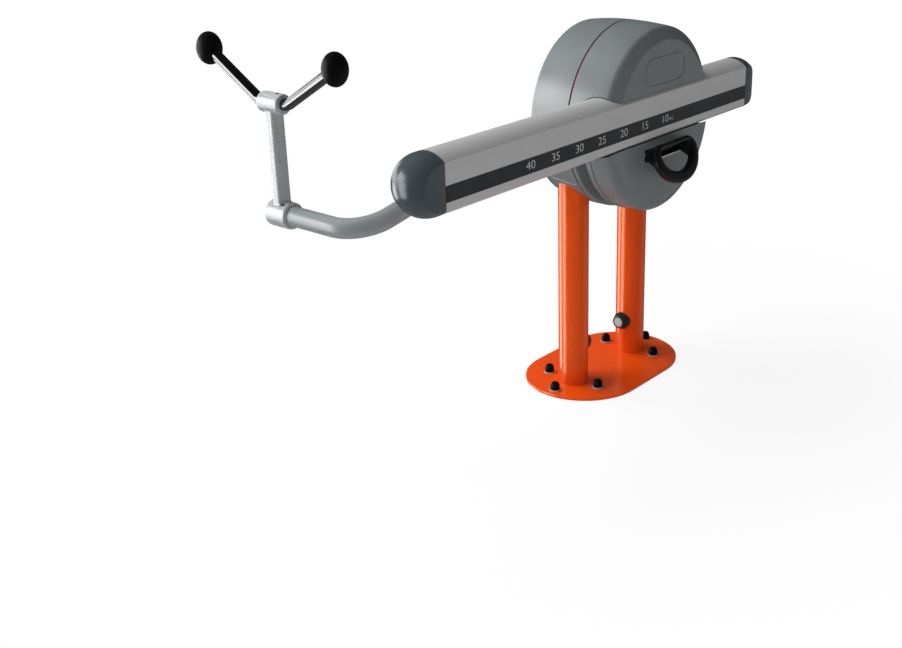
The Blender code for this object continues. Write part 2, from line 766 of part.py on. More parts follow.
def upper_cover_profile():
    rise = (DRUM_RADIUS - COVER_RADIUS)
    span = CHAMFER_FORWARD - FRONT_START
    wall = SHELL_WALL
    outside = [(0.0, FACE_FORWARD), (FACE_RADIUS - 0.003, FACE_FORWARD), (FACE_RADIUS, FACE_FORWARD - 0.0008)]
    outside += [(COVER_RADIUS - 0.006, CHAMFER_FORWARD + 0.0035), (COVER_RADIUS - 0.002, CHAMFER_FORWARD)]
    for i in range(4):
        share = 1 - i / 3
        outside.append((DRUM_RADIUS - rise * share * share, FRONT_START + share * (span - 0.006)))
    inside = [(TRIM_RADIUS, FRONT_START)]
    inside += [(COVER_RADIUS - wall, CHAMFER_FORWARD - 0.006), (FACE_RADIUS - 0.002, FACE_FORWARD - wall),
               (0.0, FACE_FORWARD - wall)]
    return outside + inside


def upper_cover():
    cover = turned("upper_cover", upper_cover_profile(), "Y", HUB, DRUM_SIDES, closed=False)
    reach = 2 * DRUM_RADIUS
    below = box("upper_cover_below", (-reach, -reach, HUB_HEIGHT - reach), (reach, reach, BEAM_HEIGHT + SEAT_GAP),
                CUTTERS)
    combine(cover, below)
    combine(cover, tunnel_cutter("upper_tunnel", TUNNEL_UPPER_GAP))
    outline = rounded_rectangle(BADGE_LENGTH + 2 * BADGE_GROOVE, BADGE_HEIGHT + 2 * BADGE_GROOVE,
                                BADGE_CORNER + BADGE_GROOVE, 6)
    recess = extruded("badge_recess", [outline], "Y", badge_centre(0.0), 2 * BADGE_RECESS, CUTTERS)
    combine(cover, recess)
    return finish(cover, "grey_cover")


def badge_centre(behind):
    where = along_hub(FACE_FORWARD - behind)
    return where + Vector((BADGE_ACROSS, 0.0, BADGE_ABOVE_AXLE))


def badge_panel():
    outline = rounded_rectangle(BADGE_LENGTH, BADGE_HEIGHT, BADGE_CORNER, 6)
    behind = BADGE_RECESS - SEAT_GAP - BADGE_THICKNESS / 2
    panel = extruded("badge_panel", [outline], "Y", badge_centre(behind), BADGE_THICKNESS)
    return finish(panel, "grey_cover")


def below_beam(cover, name):
    # Trim a turned piece to the part below the beam's middle, clear of the beam
    reach = 2 * DRUM_RADIUS
    above = box(f"{name}_above", (-reach, -reach, BEAM_HEIGHT - SEAT_GAP), (reach, reach, HUB_HEIGHT + reach),
                CUTTERS)
    combine(cover, above)
    return combine(cover, tunnel_cutter(f"{name}_tunnel", TUNNEL_LOWER_GAP))


def lower_drum():
    # A band beside the seam that coves down into the groove
    cove = DRUM_RADIUS - GROOVE_RADIUS
    run = GROOVE_END - SEAT_GAP
    bottom = arc(1.0, 90, 0, 3)
    outside = [(GROOVE_RADIUS, run)]
    for across, along in reversed(bottom):
        outside.append((GROOVE_RADIUS + (cove - 0.004) * (1 - across), GROOVE_START + 0.016 * (1 - along)))
    outside += [(DRUM_RADIUS - 0.001, GROOVE_START - 0.001), (DRUM_RADIUS, GROOVE_START - 0.004),
                (DRUM_RADIUS, FRONT_START)]
    inner = TRIM_RADIUS - SHELL_WALL
    inside = [(TRIM_RADIUS, FRONT_START), (TRIM_RADIUS, CARRIAGE_BACK - 0.0004), (inner, CARRIAGE_BACK - 0.0004),
              (inner, CARRIAGE_FRONT + SEAT_GAP), (GROOVE_RADIUS - SHELL_WALL, CARRIAGE_FRONT + 0.012),
              (GROOVE_RADIUS - SHELL_WALL, run)]
    drum = turned("lower_drum", outside + inside, "Y", HUB, DRUM_SIDES)
    return finish(below_beam(drum, "lower_drum"), "grey_cover")


def trim_ring():
    inner = GROOVE_RADIUS - SHELL_WALL
    lip = TRIM_RADIUS - 0.007
    profile = [(inner, TRIM_END - 0.012), (lip, TRIM_END - 0.012), (lip, TRIM_END),
               (TRIM_RADIUS, TRIM_END), (TRIM_RADIUS, GROOVE_END + 0.002),
               (TRIM_RADIUS - 0.002, GROOVE_END), (inner, GROOVE_END)]
    ring = turned("trim_ring", profile, "Y", HUB, DRUM_SIDES)
    return finish(below_beam(ring, "trim_ring"), "grey_cover")


def lower_cover():
    wall = SHELL_WALL
    start = TRIM_END + 2 * SEAT_GAP
    shoulder = FACE_FORWARD - LOWER_ROUND
    face = DRUM_RADIUS - LOWER_FACE_STEP
    edge = LOWER_RADIUS - face
    outside = [(0.0, FACE_FORWARD)]
    outside += [(face + edge * across, shoulder + LOWER_ROUND * along)
                for across, along in arc(1.0, 90, 0, 5)]
    outside.append((LOWER_RADIUS, start))
    inside = [(LOWER_RADIUS - wall, start)]
    inside += [(face - wall / 2 + (edge - wall / 2) * across, shoulder - wall + LOWER_ROUND * along)
               for across, along in arc(1.0, 0, 90, 3)]
    inside.append((0.0, FACE_FORWARD - wall))
    cover = turned("lower_cover", outside + inside, "Y", HUB, DRUM_SIDES, closed=False)
    pocket_high = POCKET_HIGH + wall
    pocket_low = POCKET_LOW - wall
    back = POCKET_DEPTH + wall
    walls = box("pocket_walls", (-POCKET_HALF_LENGTH - wall, -FACE_FORWARD + wall / 2, pocket_low),
                (POCKET_HALF_LENGTH + wall, -FACE_FORWARD + back, pocket_high), CUTTERS)
    combine(cover, walls, "UNION")
    for name, side in (("left", -1), ("right", 1)):
        low, high = handle_lug_span(side)
        lug = box(f"{name}_lug", (low, -FACE_FORWARD + wall / 2, HANDLE_PIVOT_HEIGHT - 0.012),
                  (high, -HANDLE_PIVOT_FORWARD + 0.010, HANDLE_PIVOT_HEIGHT + 0.012), CUTTERS)
        combine(cover, lug, "UNION")
    outline = rounded_rectangle(2 * POCKET_HALF_LENGTH, POCKET_HIGH - POCKET_LOW, 0.010, 4)
    centre = (0.0, -FACE_FORWARD, (POCKET_HIGH + POCKET_LOW) / 2)
    pocket = extruded("pocket", [outline], "Y", centre, 2 * POCKET_DEPTH, CUTTERS)
    combine(cover, pocket)
    for name, side in (("left", -1), ("right", 1)):
        middle = side * HANDLE_HALF_SPAN
        half = KNUCKLE_WIDTH / 2 + 2 * RUNNING_GAP
        radius = KNUCKLE_DIAMETER / 2 + 2 * RUNNING_GAP
        slot = rod(f"{name}_slot", radius, HANDLE_PIVOT + Vector((middle - half, 0, 0)),
                   HANDLE_PIVOT + Vector((middle + half, 0, 0)), CUTTERS, 16)
        combine(cover, slot)
        bore = rod(f"{name}_pin_bore", HANDLE_PIN_DIAMETER / 2 + SEAT_GAP,
                   HANDLE_PIVOT + Vector((middle - half - 0.004, 0, 0)),
                   HANDLE_PIVOT + Vector((middle + half + 0.004, 0, 0)), CUTTERS, 12)
        combine(cover, bore)
    return finish(below_beam(cover, "lower_cover"), "grey_cover")


def handle_lug_span(side):
    # The outer lug of a handle pin, beside its knuckle
    start = HANDLE_HALF_SPAN + KNUCKLE_WIDTH / 2 + RUNNING_GAP
    ends = (side * start, side * (start + HANDLE_LUG))
    return min(ends), max(ends)


# Beam and what guides it

def d_outline(radius, flat, strip=False, count=33):
    # A circle with a flat at -flat in its first direction, with the strip's shallow seat
    corner = math.degrees(math.acos(-flat / radius))
    outline = arc(radius, corner, -corner, count)
    if strip:
        outline += [(-flat, -STRIP_LOW), (-flat + STRIP_DEPTH, -STRIP_LOW),
                    (-flat + STRIP_DEPTH, STRIP_HIGH), (-flat, STRIP_HIGH)]
    return outline


def beam_point(x, local_y=0.0, local_z=0.0):
    return BEAM_CENTRE + Vector((x, local_y, local_z))


def beam_extrusion():
    length = BEAM_LEFT + BEAM_RIGHT
    centre = beam_point((BEAM_RIGHT - BEAM_LEFT) / 2)
    outer = d_outline(BEAM_RADIUS, BEAM_FLAT, strip=True)
    inner = d_outline(BEAM_RADIUS - BEAM_WALL, BEAM_FLAT - BEAM_WALL, count=25)
    beam = extruded("beam_extrusion", [outer, inner], "X", centre, length)
    for i in range(INDEX_COUNT):
        x = -i * INDEX_PITCH
        hole = rod(f"index_hole_{i + 1}", INDEX_DIAMETER / 2, beam_point(x, 0, -BEAM_RADIUS - 0.01),
                   beam_point(x, 0, -BEAM_RADIUS + 2 * BEAM_WALL), CUTTERS, SMALL_SIDES)
        combine(beam, hole)
    return finish(beam, "beam_aluminium")


def scale_strip():
    gap = 0.0002
    low = beam_point(-BEAM_LEFT, -BEAM_FLAT, -STRIP_LOW + gap)
    high = beam_point(BEAM_RIGHT, -BEAM_FLAT + STRIP_DEPTH - gap, STRIP_HIGH - gap)
    return finish(box("scale_strip", low, high), "scale_black")


def dome_profile(radius, straight, cap, count):
    # From the open end to the tip of a dome, as heights toward the tip
    points = [(radius, 0.0), (radius, straight)]
    points += arc(radius, 0, 90, count, (0.0, straight), cap / radius)[1:]
    points[-1] = (0.0, straight + cap)
    return points


def flat_front(name, thing, offset):
    # Take off what lies in front of the beam's flat side
    reach = 2 * BEAM_RADIUS
    low = beam_point(-BEAM_LEFT - reach, -BEAM_FLAT - reach, -reach)
    high = beam_point(BEAM_RIGHT + reach, -BEAM_FLAT + offset, reach)
    return combine(thing, hide_cutter(box(name, low, high, CUTTERS)))


def left_end_cap():
    x = -BEAM_LEFT - SEAT_GAP
    solid = [(r, -h) for r, h in dome_profile(BEAM_RADIUS, CAP_STRAIGHT, BEAM_RADIUS, 7)]
    cap = turned("left_end_cap", [(0.0, 0.0)] + solid, "X", beam_point(x), LARGE_SIDES, closed=False)
    flat_front("left_cap_front", cap, 0.0)
    wall = END_CAP_WALL
    hollow = [(r, -h) for r, h in dome_profile(BEAM_RADIUS - wall, CAP_STRAIGHT, BEAM_RADIUS - wall, 3)]
    hollow[0] = (hollow[0][0], 0.02)
    cavity = turned("left_cap_cavity", [(0.0, 0.02)] + hollow, "X", beam_point(x), SMALL_SIDES,
                    closed=False, group=CUTTERS)
    flat_front("left_cavity_front", cavity, wall)
    combine(cap, cavity)
    return finish(add_spigot(cap, "left", x, 1), "slate_plastic")


def add_spigot(cap, name, x, side):
    # A hollow plug with the beam's inner shape, joined to the cap by its own floor
    radius = BEAM_RADIUS - BEAM_WALL - SEAT_GAP
    flat = BEAM_FLAT - BEAM_WALL - SEAT_GAP
    outer = d_outline(radius, flat, count=13)
    inner = d_outline(radius - SPIGOT_WALL, flat - SPIGOT_WALL, count=9)
    reach = SPIGOT_LENGTH + 0.006
    centre = beam_point(x + side * (SPIGOT_LENGTH - 0.006) / 2)
    spigot = extruded(f"{name}_spigot", [outer, inner], "X", centre, reach, CUTTERS)
    return combine(cap, spigot, "UNION")


def right_end_cap():
    x = BEAM_RIGHT + SEAT_GAP
    straight = RIGHT_CAP_LENGTH - RIGHT_CAP_ROUND
    radius = BEAM_RADIUS
    rim = radius - RIGHT_CAP_ROUND
    profile = [(0.0, RIGHT_CAP_LENGTH)] + arc(RIGHT_CAP_ROUND, 90, 0, 4, (rim, straight))
    profile += [(radius, 0.0), (0.0, 0.0)]
    cap = turned("right_end_cap", profile, "X", beam_point(x), LARGE_SIDES, closed=False)
    flat_front("right_cap_front", cap, 0.0)
    wall = END_CAP_WALL
    inner = radius - wall
    bore = [(0.0, RIGHT_CAP_LENGTH - wall), (inner - RIGHT_CAP_ROUND, RIGHT_CAP_LENGTH - wall),
            (inner, straight - wall), (inner, -0.02), (0.0, -0.02)]
    cavity = turned("right_cap_cavity", bore, "X", beam_point(x), SMALL_SIDES, closed=False, group=CUTTERS)
    flat_front("right_cavity_front", cavity, wall)
    combine(cap, cavity)
    return finish(add_spigot(cap, "right", x, -1), "slate_plastic")


def weight_block():
    inset = BEAM_WALL + SEAT_GAP
    outline = d_outline(BEAM_RADIUS - inset, BEAM_FLAT - inset, count=25)
    end = BEAM_RIGHT - SPIGOT_LENGTH - SEAT_GAP
    centre = beam_point(end - WEIGHT_LENGTH / 2)
    return finish(extruded("weight_block", [outline], "X", centre, WEIGHT_LENGTH), "dark_steel")


def saddle_outline(inner, outer, wrap, up, foot):
    # A ring segment round the beam from the carriage plate forward
    back = BEAM_FORWARD - CARRIAGE_FRONT - SEAT_GAP
    edge = inner if foot else outer
    start = math.degrees(math.acos(min(1.0, back / edge))) + 1.0
    if foot:
        high = 52.0
        points = arc(inner, start, wrap, 12) + arc(outer, wrap, high, 10)
        corner = outer * math.sin(math.radians(high))
        points += [(back, corner), (back, inner * math.sin(math.radians(start)))]
    else:
        points = arc(inner, start, wrap - 2.0, 12) + arc(outer, wrap - 2.0, start, 12)
    return [(across, up * rise) for across, rise in points]


def beam_guide(name, up, wrap):
    inner = BEAM_RADIUS + GLIDE_GAP + GLIDE_WALL + SEAT_GAP
    outline = saddle_outline(inner, inner + GUIDE_WALL, wrap, up, True)
    guide = extruded(name, [outline], "X", BEAM_CENTRE, GUIDE_LENGTH)
    if up < 0:
        combine(guide, pawl_bore("guide_bore"))
    return finish(guide, "beam_aluminium")


def beam_glide(name, up, wrap):
    inner = BEAM_RADIUS + GLIDE_GAP
    outline = saddle_outline(inner, inner + GLIDE_WALL, wrap, up, False)
    glide = extruded(name, [outline], "X", BEAM_CENTRE, GUIDE_LENGTH - 0.002)
    if up < 0:
        combine(glide, pawl_bore("glide_bore"))
    return finish(glide, "glide_plastic")


def pawl_bore(name):
    radius = PAWL_DIAMETER / 2 + RUNNING_GAP
    return rod(name, radius, beam_point(0, 0, -0.2), beam_point(0, 0, 0), CUTTERS, SMALL_SIDES)


# Lock under the beam and its handle

def pawl_top():
    return UNDERSIDE - PAWL_TIP_GAP


def pawl_pin():
    # A round pin with a collar that the crank's pins press down
    radius = PAWL_DIAMETER / 2
    collar = COLLAR_DIAMETER / 2
    top = pawl_top()
    rim = HANDLE_PIVOT_HEIGHT - CRANK_PIN_DIAMETER / 2 - 0.0005
    low = top - PAWL_LENGTH
    profile = [(0.0, top), (radius - 0.002, top), (radius, top - 0.003), (radius, rim),
               (collar, rim), (collar, rim - COLLAR_HEIGHT), (radius, rim - COLLAR_HEIGHT),
               (radius, low), (0.0, low)]
    pin = turned("pawl_pin", profile, "Z", (0, -BEAM_FORWARD, 0), SMALL_SIDES, closed=False)
    return finish(pin, "zinc_steel")


def pawl_guide():
    # A bracket from the carriage plate with a bored boss for the pawl's lower end
    top = UNDERSIDE - PAWL_GUIDE_DROP
    low = top - PAWL_GUIDE_LENGTH
    outer = PAWL_DIAMETER / 2 + PAWL_GUIDE_WALL
    centre = Vector((0, -BEAM_FORWARD, 0))
    arm = box("pawl_guide", (-0.018, -BEAM_FORWARD, low + 0.006), (0.018, -CARRIAGE_FRONT - SEAT_GAP, low + 0.016))
    foot = box("pawl_guide_foot", (-0.030, -CARRIAGE_FRONT - 0.010, low - 0.020),
               (0.030, -CARRIAGE_FRONT - SEAT_GAP, low + 0.040), CUTTERS)
    combine(arm, foot, "UNION")
    boss = rod("pawl_guide_boss", outer, centre + Vector((0, 0, low)), centre + Vector((0, 0, top)), CUTTERS, 20)
    combine(arm, boss, "UNION")
    bore = rod("pawl_guide_bore", PAWL_DIAMETER / 2 + RUNNING_GAP, centre + Vector((0, 0, low - 0.01)),
               centre + Vector((0, 0, top + 0.01)), CUTTERS, SMALL_SIDES)
    combine(arm, bore)
    return finish(arm, "dark_steel")


def handle_frame():
    # The handle's own plane: it leans outward from its top bar
    tilt = math.radians(HANDLE_TILT_DEGREES)
    down = Vector((0.0, -math.sin(tilt), -math.cos(tilt)))
    out = Vector((0.0, -math.cos(tilt), math.sin(tilt)))
    return down, out


def release_handle():
    # A D-shaped grip of oval section, bent from one rounded bar, with an arm on each side
    down, out = handle_frame()
    top = Vector((0.0, -HANDLE_TOP_FORWARD, HANDLE_TOP_HEIGHT))
    turn = Matrix(((1, 0, 0), tuple(-down), tuple(out))).transposed().to_4x4()
    handle = loop_bar("release_handle", d_path(), HANDLE_THICKNESS / 2, turn, top)
    for name, side in (("left", -1), ("right", 1)):
        middle = side * HANDLE_HALF_SPAN
        knuckle = rod(f"{name}_knuckle", KNUCKLE_DIAMETER / 2,
                      HANDLE_PIVOT + Vector((middle - KNUCKLE_WIDTH / 2, 0, 0)),
                      HANDLE_PIVOT + Vector((middle + KNUCKLE_WIDTH / 2, 0, 0)), CUTTERS, 24)
        neck = extruded(f"{name}_neck", [neck_outline()], "X", (middle, 0, 0), KNUCKLE_WIDTH - 0.001, CUTTERS)
        combine(handle, neck, "UNION")
        combine(handle, knuckle, "UNION")
        bore = rod(f"{name}_knuckle_bore", HANDLE_PIN_DIAMETER / 2 + RUNNING_GAP,
                   HANDLE_PIVOT + Vector((middle - KNUCKLE_WIDTH, 0, 0)),
                   HANDLE_PIVOT + Vector((middle + KNUCKLE_WIDTH, 0, 0)), CUTTERS, 16)
        combine(handle, bore)
    return finish(handle, "black_rubber")


def d_path():
    # Centre line of the grip in its own plane: x across, y up from the top bar
    half = HANDLE_HALF_WIDTH
    corner = HANDLE_CORNER
    straight = max(0.2 * HANDLE_DROP, HANDLE_DROP - half)
    points = arc(corner, 90, 0, 4, (half - corner, -corner))
    points += arc(half, 0, -180, 15, (0.0, -straight), (HANDLE_DROP - straight) / half)
    points += arc(corner, 180, 90, 4, (-half + corner, -corner))
    return points


def loop_bar(name, path, radius, turn, centre):
    # A closed bar along a flat loop, deepened across the loop's plane
    curve = bpy.data.curves.new(name, "CURVE")
    curve.dimensions = "3D"
    curve.bevel_depth = radius
    curve.bevel_resolution = 3
    spline = curve.splines.new("POLY")
    spline.points.add(len(path) - 1)
    for point, (across, up) in zip(spline.points, path):
        point.co = (across, up, 0.0, 1.0)
    spline.use_cyclic_u = True
    bar = place(name, curve, turn, centre, STATION)
    bpy.context.view_layer.update()
    bar = smooth(curve_to_mesh(bar))
    for point in bar.data.vertices:
        point.co.z *= HANDLE_DEPTH / HANDLE_THICKNESS
    return bar


def neck_outline():
    # Side view of the arm from a knuckle to the handle, in Y and Z
    y = -HANDLE_PIVOT_FORWARD
    z = HANDLE_PIVOT_HEIGHT
    radius = KNUCKLE_DIAMETER / 2
    front = -HANDLE_TOP_FORWARD
    return [(y, z - radius * 0.8), (y, z + radius * 0.55), (front, HANDLE_TOP_HEIGHT + 0.003),
            (front - 0.006, HANDLE_TOP_HEIGHT - 0.016)]


def release_crank():
    # Two plates beside the knuckles, a cross bar, and a fork with pins over the collar
    bar = HANDLE_PIVOT + Vector((0.0, CRANK_BAR_BEHIND, 0.0))
    reach = HANDLE_HALF_SPAN + CRANK_PLATE / 2 - 0.001
    crank = rod("release_crank", CRANK_BAR_DIAMETER / 2, bar - Vector((reach, 0, 0)),
                bar + Vector((reach, 0, 0)), STATION, 20)
    knuckle = KNUCKLE_DIAMETER / 2 + SEAT_GAP
    for name, side in (("left", -1), ("right", 1)):
        middle = side * HANDLE_HALF_SPAN
        plate = box(f"{name}_crank_plate",
                    (middle - CRANK_PLATE / 2, -HANDLE_PIVOT_FORWARD + knuckle, HANDLE_PIVOT_HEIGHT - 0.004),
                    (middle + CRANK_PLATE / 2, -HANDLE_PIVOT_FORWARD + CRANK_BAR_BEHIND, HANDLE_PIVOT_HEIGHT + 0.004),
                    CUTTERS)
        combine(crank, plate, "UNION")
        fork = side * CRANK_FORK_OFFSET
        tip = -HANDLE_PIVOT_FORWARD + CRANK_LENGTH
        arm = box(f"{name}_fork",
                  (fork - 0.0025, -HANDLE_PIVOT_FORWARD + CRANK_BAR_BEHIND, HANDLE_PIVOT_HEIGHT - 0.008),
                  (fork + 0.0025, tip + 0.005, HANDLE_PIVOT_HEIGHT + 0.001), CUTTERS)
        combine(crank, arm, "UNION")
        inner = side * (PAWL_DIAMETER / 2 + 0.002)
        pin = rod(f"{name}_fork_pin", CRANK_PIN_DIAMETER / 2, (inner, tip, HANDLE_PIVOT_HEIGHT),
                  (fork, tip, HANDLE_PIVOT_HEIGHT), CUTTERS, 12)
        combine(crank, pin, "UNION")
    return finish(crank, "zinc_steel")


def handle_pin(name, side):
    middle = side * HANDLE_HALF_SPAN
    half = KNUCKLE_WIDTH / 2 + 2 * RUNNING_GAP + 0.0035
    pin = rod(name, HANDLE_PIN_DIAMETER / 2, HANDLE_PIVOT + Vector((middle - half, 0, 0)),
              HANDLE_PIVOT + Vector((middle + half, 0, 0)), STATION, 16)
    return finish(pin, "zinc_steel")


# Hand lever, link and grips

def lever_boss():
    outer = BOSS_DIAMETER / 2
    bore = AXLE_DIAMETER / 2 + SEAT_GAP
    half = BOSS_LENGTH / 2
    edge = 0.004
    profile = [(bore, half), (outer - edge, half), (outer, half - edge), (outer, -half + edge),
               (outer - edge, -half), (bore, -half)]
    centre = HUB + Vector((0.0, LEVER_BEHIND, 0.0))
    return finish(turned("lever_boss", profile, "Y", centre, LARGE_SIDES), "grey_paint")


def axle_cap():
    # A domed nut that holds the boss on the axle's rear end
    base = LEVER_BEHIND + BOSS_LENGTH / 2 + SEAT_GAP
    radius = AXLE_DIAMETER / 2 + 0.008
    bore = AXLE_DIAMETER / 2 + SEAT_GAP
    depth = 0.006
    top = 0.018
    profile = [(0.0, -depth), (bore, -depth), (bore, 0.0), (radius, 0.0)]
    profile += arc(radius, 0, -90, 4, (0.0, -depth), (top - depth) / radius)
    profile[-1] = (0.0, -top)
    cap = turned("axle_cap", profile, "Y", HUB + Vector((0.0, base, 0.0)), MEDIUM_SIDES, closed=False)
    return finish(cap, "black_plastic")


def lever_tube():
    corner = Vector((LINK_LOW.x, LEVER_BEHIND, LINK_LOW.z))
    start = HUB + Vector((0.0, LEVER_BEHIND, 0.0))
    toward = (corner - start).normalized()
    first = start + toward * (BOSS_DIAMETER / 4)
    last = Vector((LINK_LOW.x, LINK_BEHIND + SOCKET_LENGTH / 2 - SOCKET_FLOOR - RUNNING_GAP, LINK_LOW.z))
    path = [first] + bend_path(corner, first, last, BEND_RADIUS, 9) + [last]
    tube = pipe("lever_tube", path, TUBE_DIAMETER / 2, STATION, 7)
    stretched = [first - toward * 0.02] + path[1:-1] + [last + Vector((0, 0.02, 0))]
    bore = pipe("lever_bore", stretched, TUBE_DIAMETER / 2 - TUBE_WALL, CUTTERS, 4)
    combine(tube, bore)
    boss = BOSS_DIAMETER / 2 + SEAT_GAP
    half = Vector((0, BOSS_LENGTH, 0))
    combine(tube, rod("boss_cope", boss, start - half, start + half, CUTTERS, 32))
    return finish(tube, "grey_paint")


def link_arm():
    # A casting: a blind socket for the lever, a rounded bar and an open sleeve for the grips
    outer = SOCKET_DIAMETER / 2
    half = SOCKET_LENGTH / 2
    profile = [(0.0, half), (outer - 0.002, half), (outer, half - 0.002)]
    profile += arc(SOCKET_ROUND, 0, -90, 4, (outer - SOCKET_ROUND, -half + SOCKET_ROUND))
    profile.append((0.0, -half))
    link = turned("link_arm", profile, "Y", LINK_LOW, LINK_SIDES, closed=False)
    outline = rounded_rectangle(LINK_WIDTH, LINK_DEPTH, LINK_CORNER, 4)
    low = TUBE_DIAMETER / 2 + 2 * RUNNING_GAP
    high = SLEEVE_RISE - GRIP_DIAMETER / 2 - 2 * RUNNING_GAP
    middle = LINK_LOW + Vector((0.0, 0.0, (low + high) / 2))
    combine(link, extruded("link_bar", [outline], "Z", middle, high - low, CUTTERS), "UNION")
    sleeve = SLEEVE_DIAMETER / 2
    long_half = SLEEVE_LENGTH / 2
    edge = 0.003
    sleeve_profile = [(0.0, long_half), (sleeve - edge, long_half), (sleeve, long_half - edge),
                      (sleeve, -long_half + edge), (sleeve - edge, -long_half), (0.0, -long_half)]
    combine(link, turned("link_sleeve", sleeve_profile, "Y", LINK_HIGH, LINK_SIDES, closed=False,
                         group=CUTTERS), "UNION")
    reach = Vector((0, SLEEVE_LENGTH, 0))
    combine(link, rod("sleeve_bore", GRIP_DIAMETER / 2 + RUNNING_GAP, LINK_HIGH - reach, LINK_HIGH + reach,
                      CUTTERS, LINK_SIDES - 4))
    floor = Vector((0, half - SOCKET_FLOOR, 0))
    combine(link, rod("socket_bore", TUBE_DIAMETER / 2 + RUNNING_GAP, LINK_LOW - reach, LINK_LOW + floor,
                      CUTTERS, LINK_SIDES))
    for name, centre, radius in screw_seats():
        seat = Vector((0, 0, 1)) if name == "upper" else screw_direction()
        combine(link, rod(f"{name}_screw_seat", SET_SCREW_DIAMETER / 2 + SEAT_GAP, centre,
                          centre + seat * radius * 1.4, CUTTERS, 12))
    return finish(link, "silver_casting")


def screw_direction():
    # The lower screw points out to the front and left of the socket
    return Vector((-0.45, 0.0, 0.9)).normalized()


def screw_seats():
    # The set screws stand near the front ends of the sleeve and the socket
    low = LINK_LOW + Vector((0, -SOCKET_LENGTH / 2 + 0.022, 0))
    high = LINK_HIGH + Vector((0, -SLEEVE_LENGTH / 2 + 0.020, 0))
    return [("lower", low, SOCKET_DIAMETER / 2), ("upper", high, SLEEVE_DIAMETER / 2)]


def set_screw(which, centre, radius, bore):
    direction = Vector((0, 0, 1)) if which == "upper" else screw_direction()
    start = centre + direction * (bore + RUNNING_GAP)
    end = start + direction * min(SET_SCREW_LENGTH, radius - bore - 0.001)
    screw = rod(f"{which}_set_screw", SET_SCREW_DIAMETER / 2, start, end, STATION, 12)
    socket = rod(f"{which}_hex_socket", SET_SCREW_DIAMETER / 4, end - direction * 0.003,
                 end + direction * 0.003, CUTTERS, 6)
    combine(screw, socket)
    return finish(screw, "dark_steel")


def grip_ends():
    return [LINK_HIGH + Vector((0.0, side * GRIP_HALF_SPAN, GRIP_RISE)) for side in (-1, 1)]


def grip_knees():
    return [LINK_HIGH + Vector((0.0, side * (SLEEVE_LENGTH / 2 + GRIP_STRAIGHT / 4), 0.0)) for side in (-1, 1)]


def grip_bar():
    front, rear = grip_ends()
    knees = grip_knees()
    inset = BALL_THICKNESS / 2 - BALL_SOCKET
    start = front + (knees[0] - front).normalized() * inset
    end = rear + (knees[1] - rear).normalized() * inset
    path = [start] + bend_path(knees[0], start, knees[1], GRIP_BEND, 5)
    path += bend_path(knees[1], knees[0], end, GRIP_BEND, 5) + [end]
    bar = pipe("grip_bar", path, GRIP_DIAMETER / 2, STATION, 5)
    past = 0.01
    stretched = [start + (start - path[1]).normalized() * past] + path[1:-1]
    stretched.append(end + (end - path[-2]).normalized() * past)
    combine(bar, pipe("grip_bore", stretched, GRIP_DIAMETER / 2 - GRIP_WALL, CUTTERS, 2))
    return finish(bar, "chrome")


def ball_knob(name, centre, knee):
    shape = bmesh.new()
    bmesh.ops.create_uvsphere(shape, u_segments=MEDIUM_SIDES, v_segments=10, radius=BALL_DIAMETER / 2)
    for point in shape.verts:
        point.co.z *= BALL_THICKNESS / BALL_DIAMETER
    knob = smooth(from_bmesh(name, shape, "Y", centre, STATION), 80)
    inward = (knee - centre).normalized()
    depth = BALL_THICKNESS / 2 - BALL_SOCKET - SEAT_GAP
    hole = rod(f"{name}_socket", GRIP_DIAMETER / 2 + 2 * SEAT_GAP, centre + inward * depth,
               centre + inward * BALL_DIAMETER, CUTTERS, 16)
    combine(knob, hole)
    return finish(knob, "black_plastic")


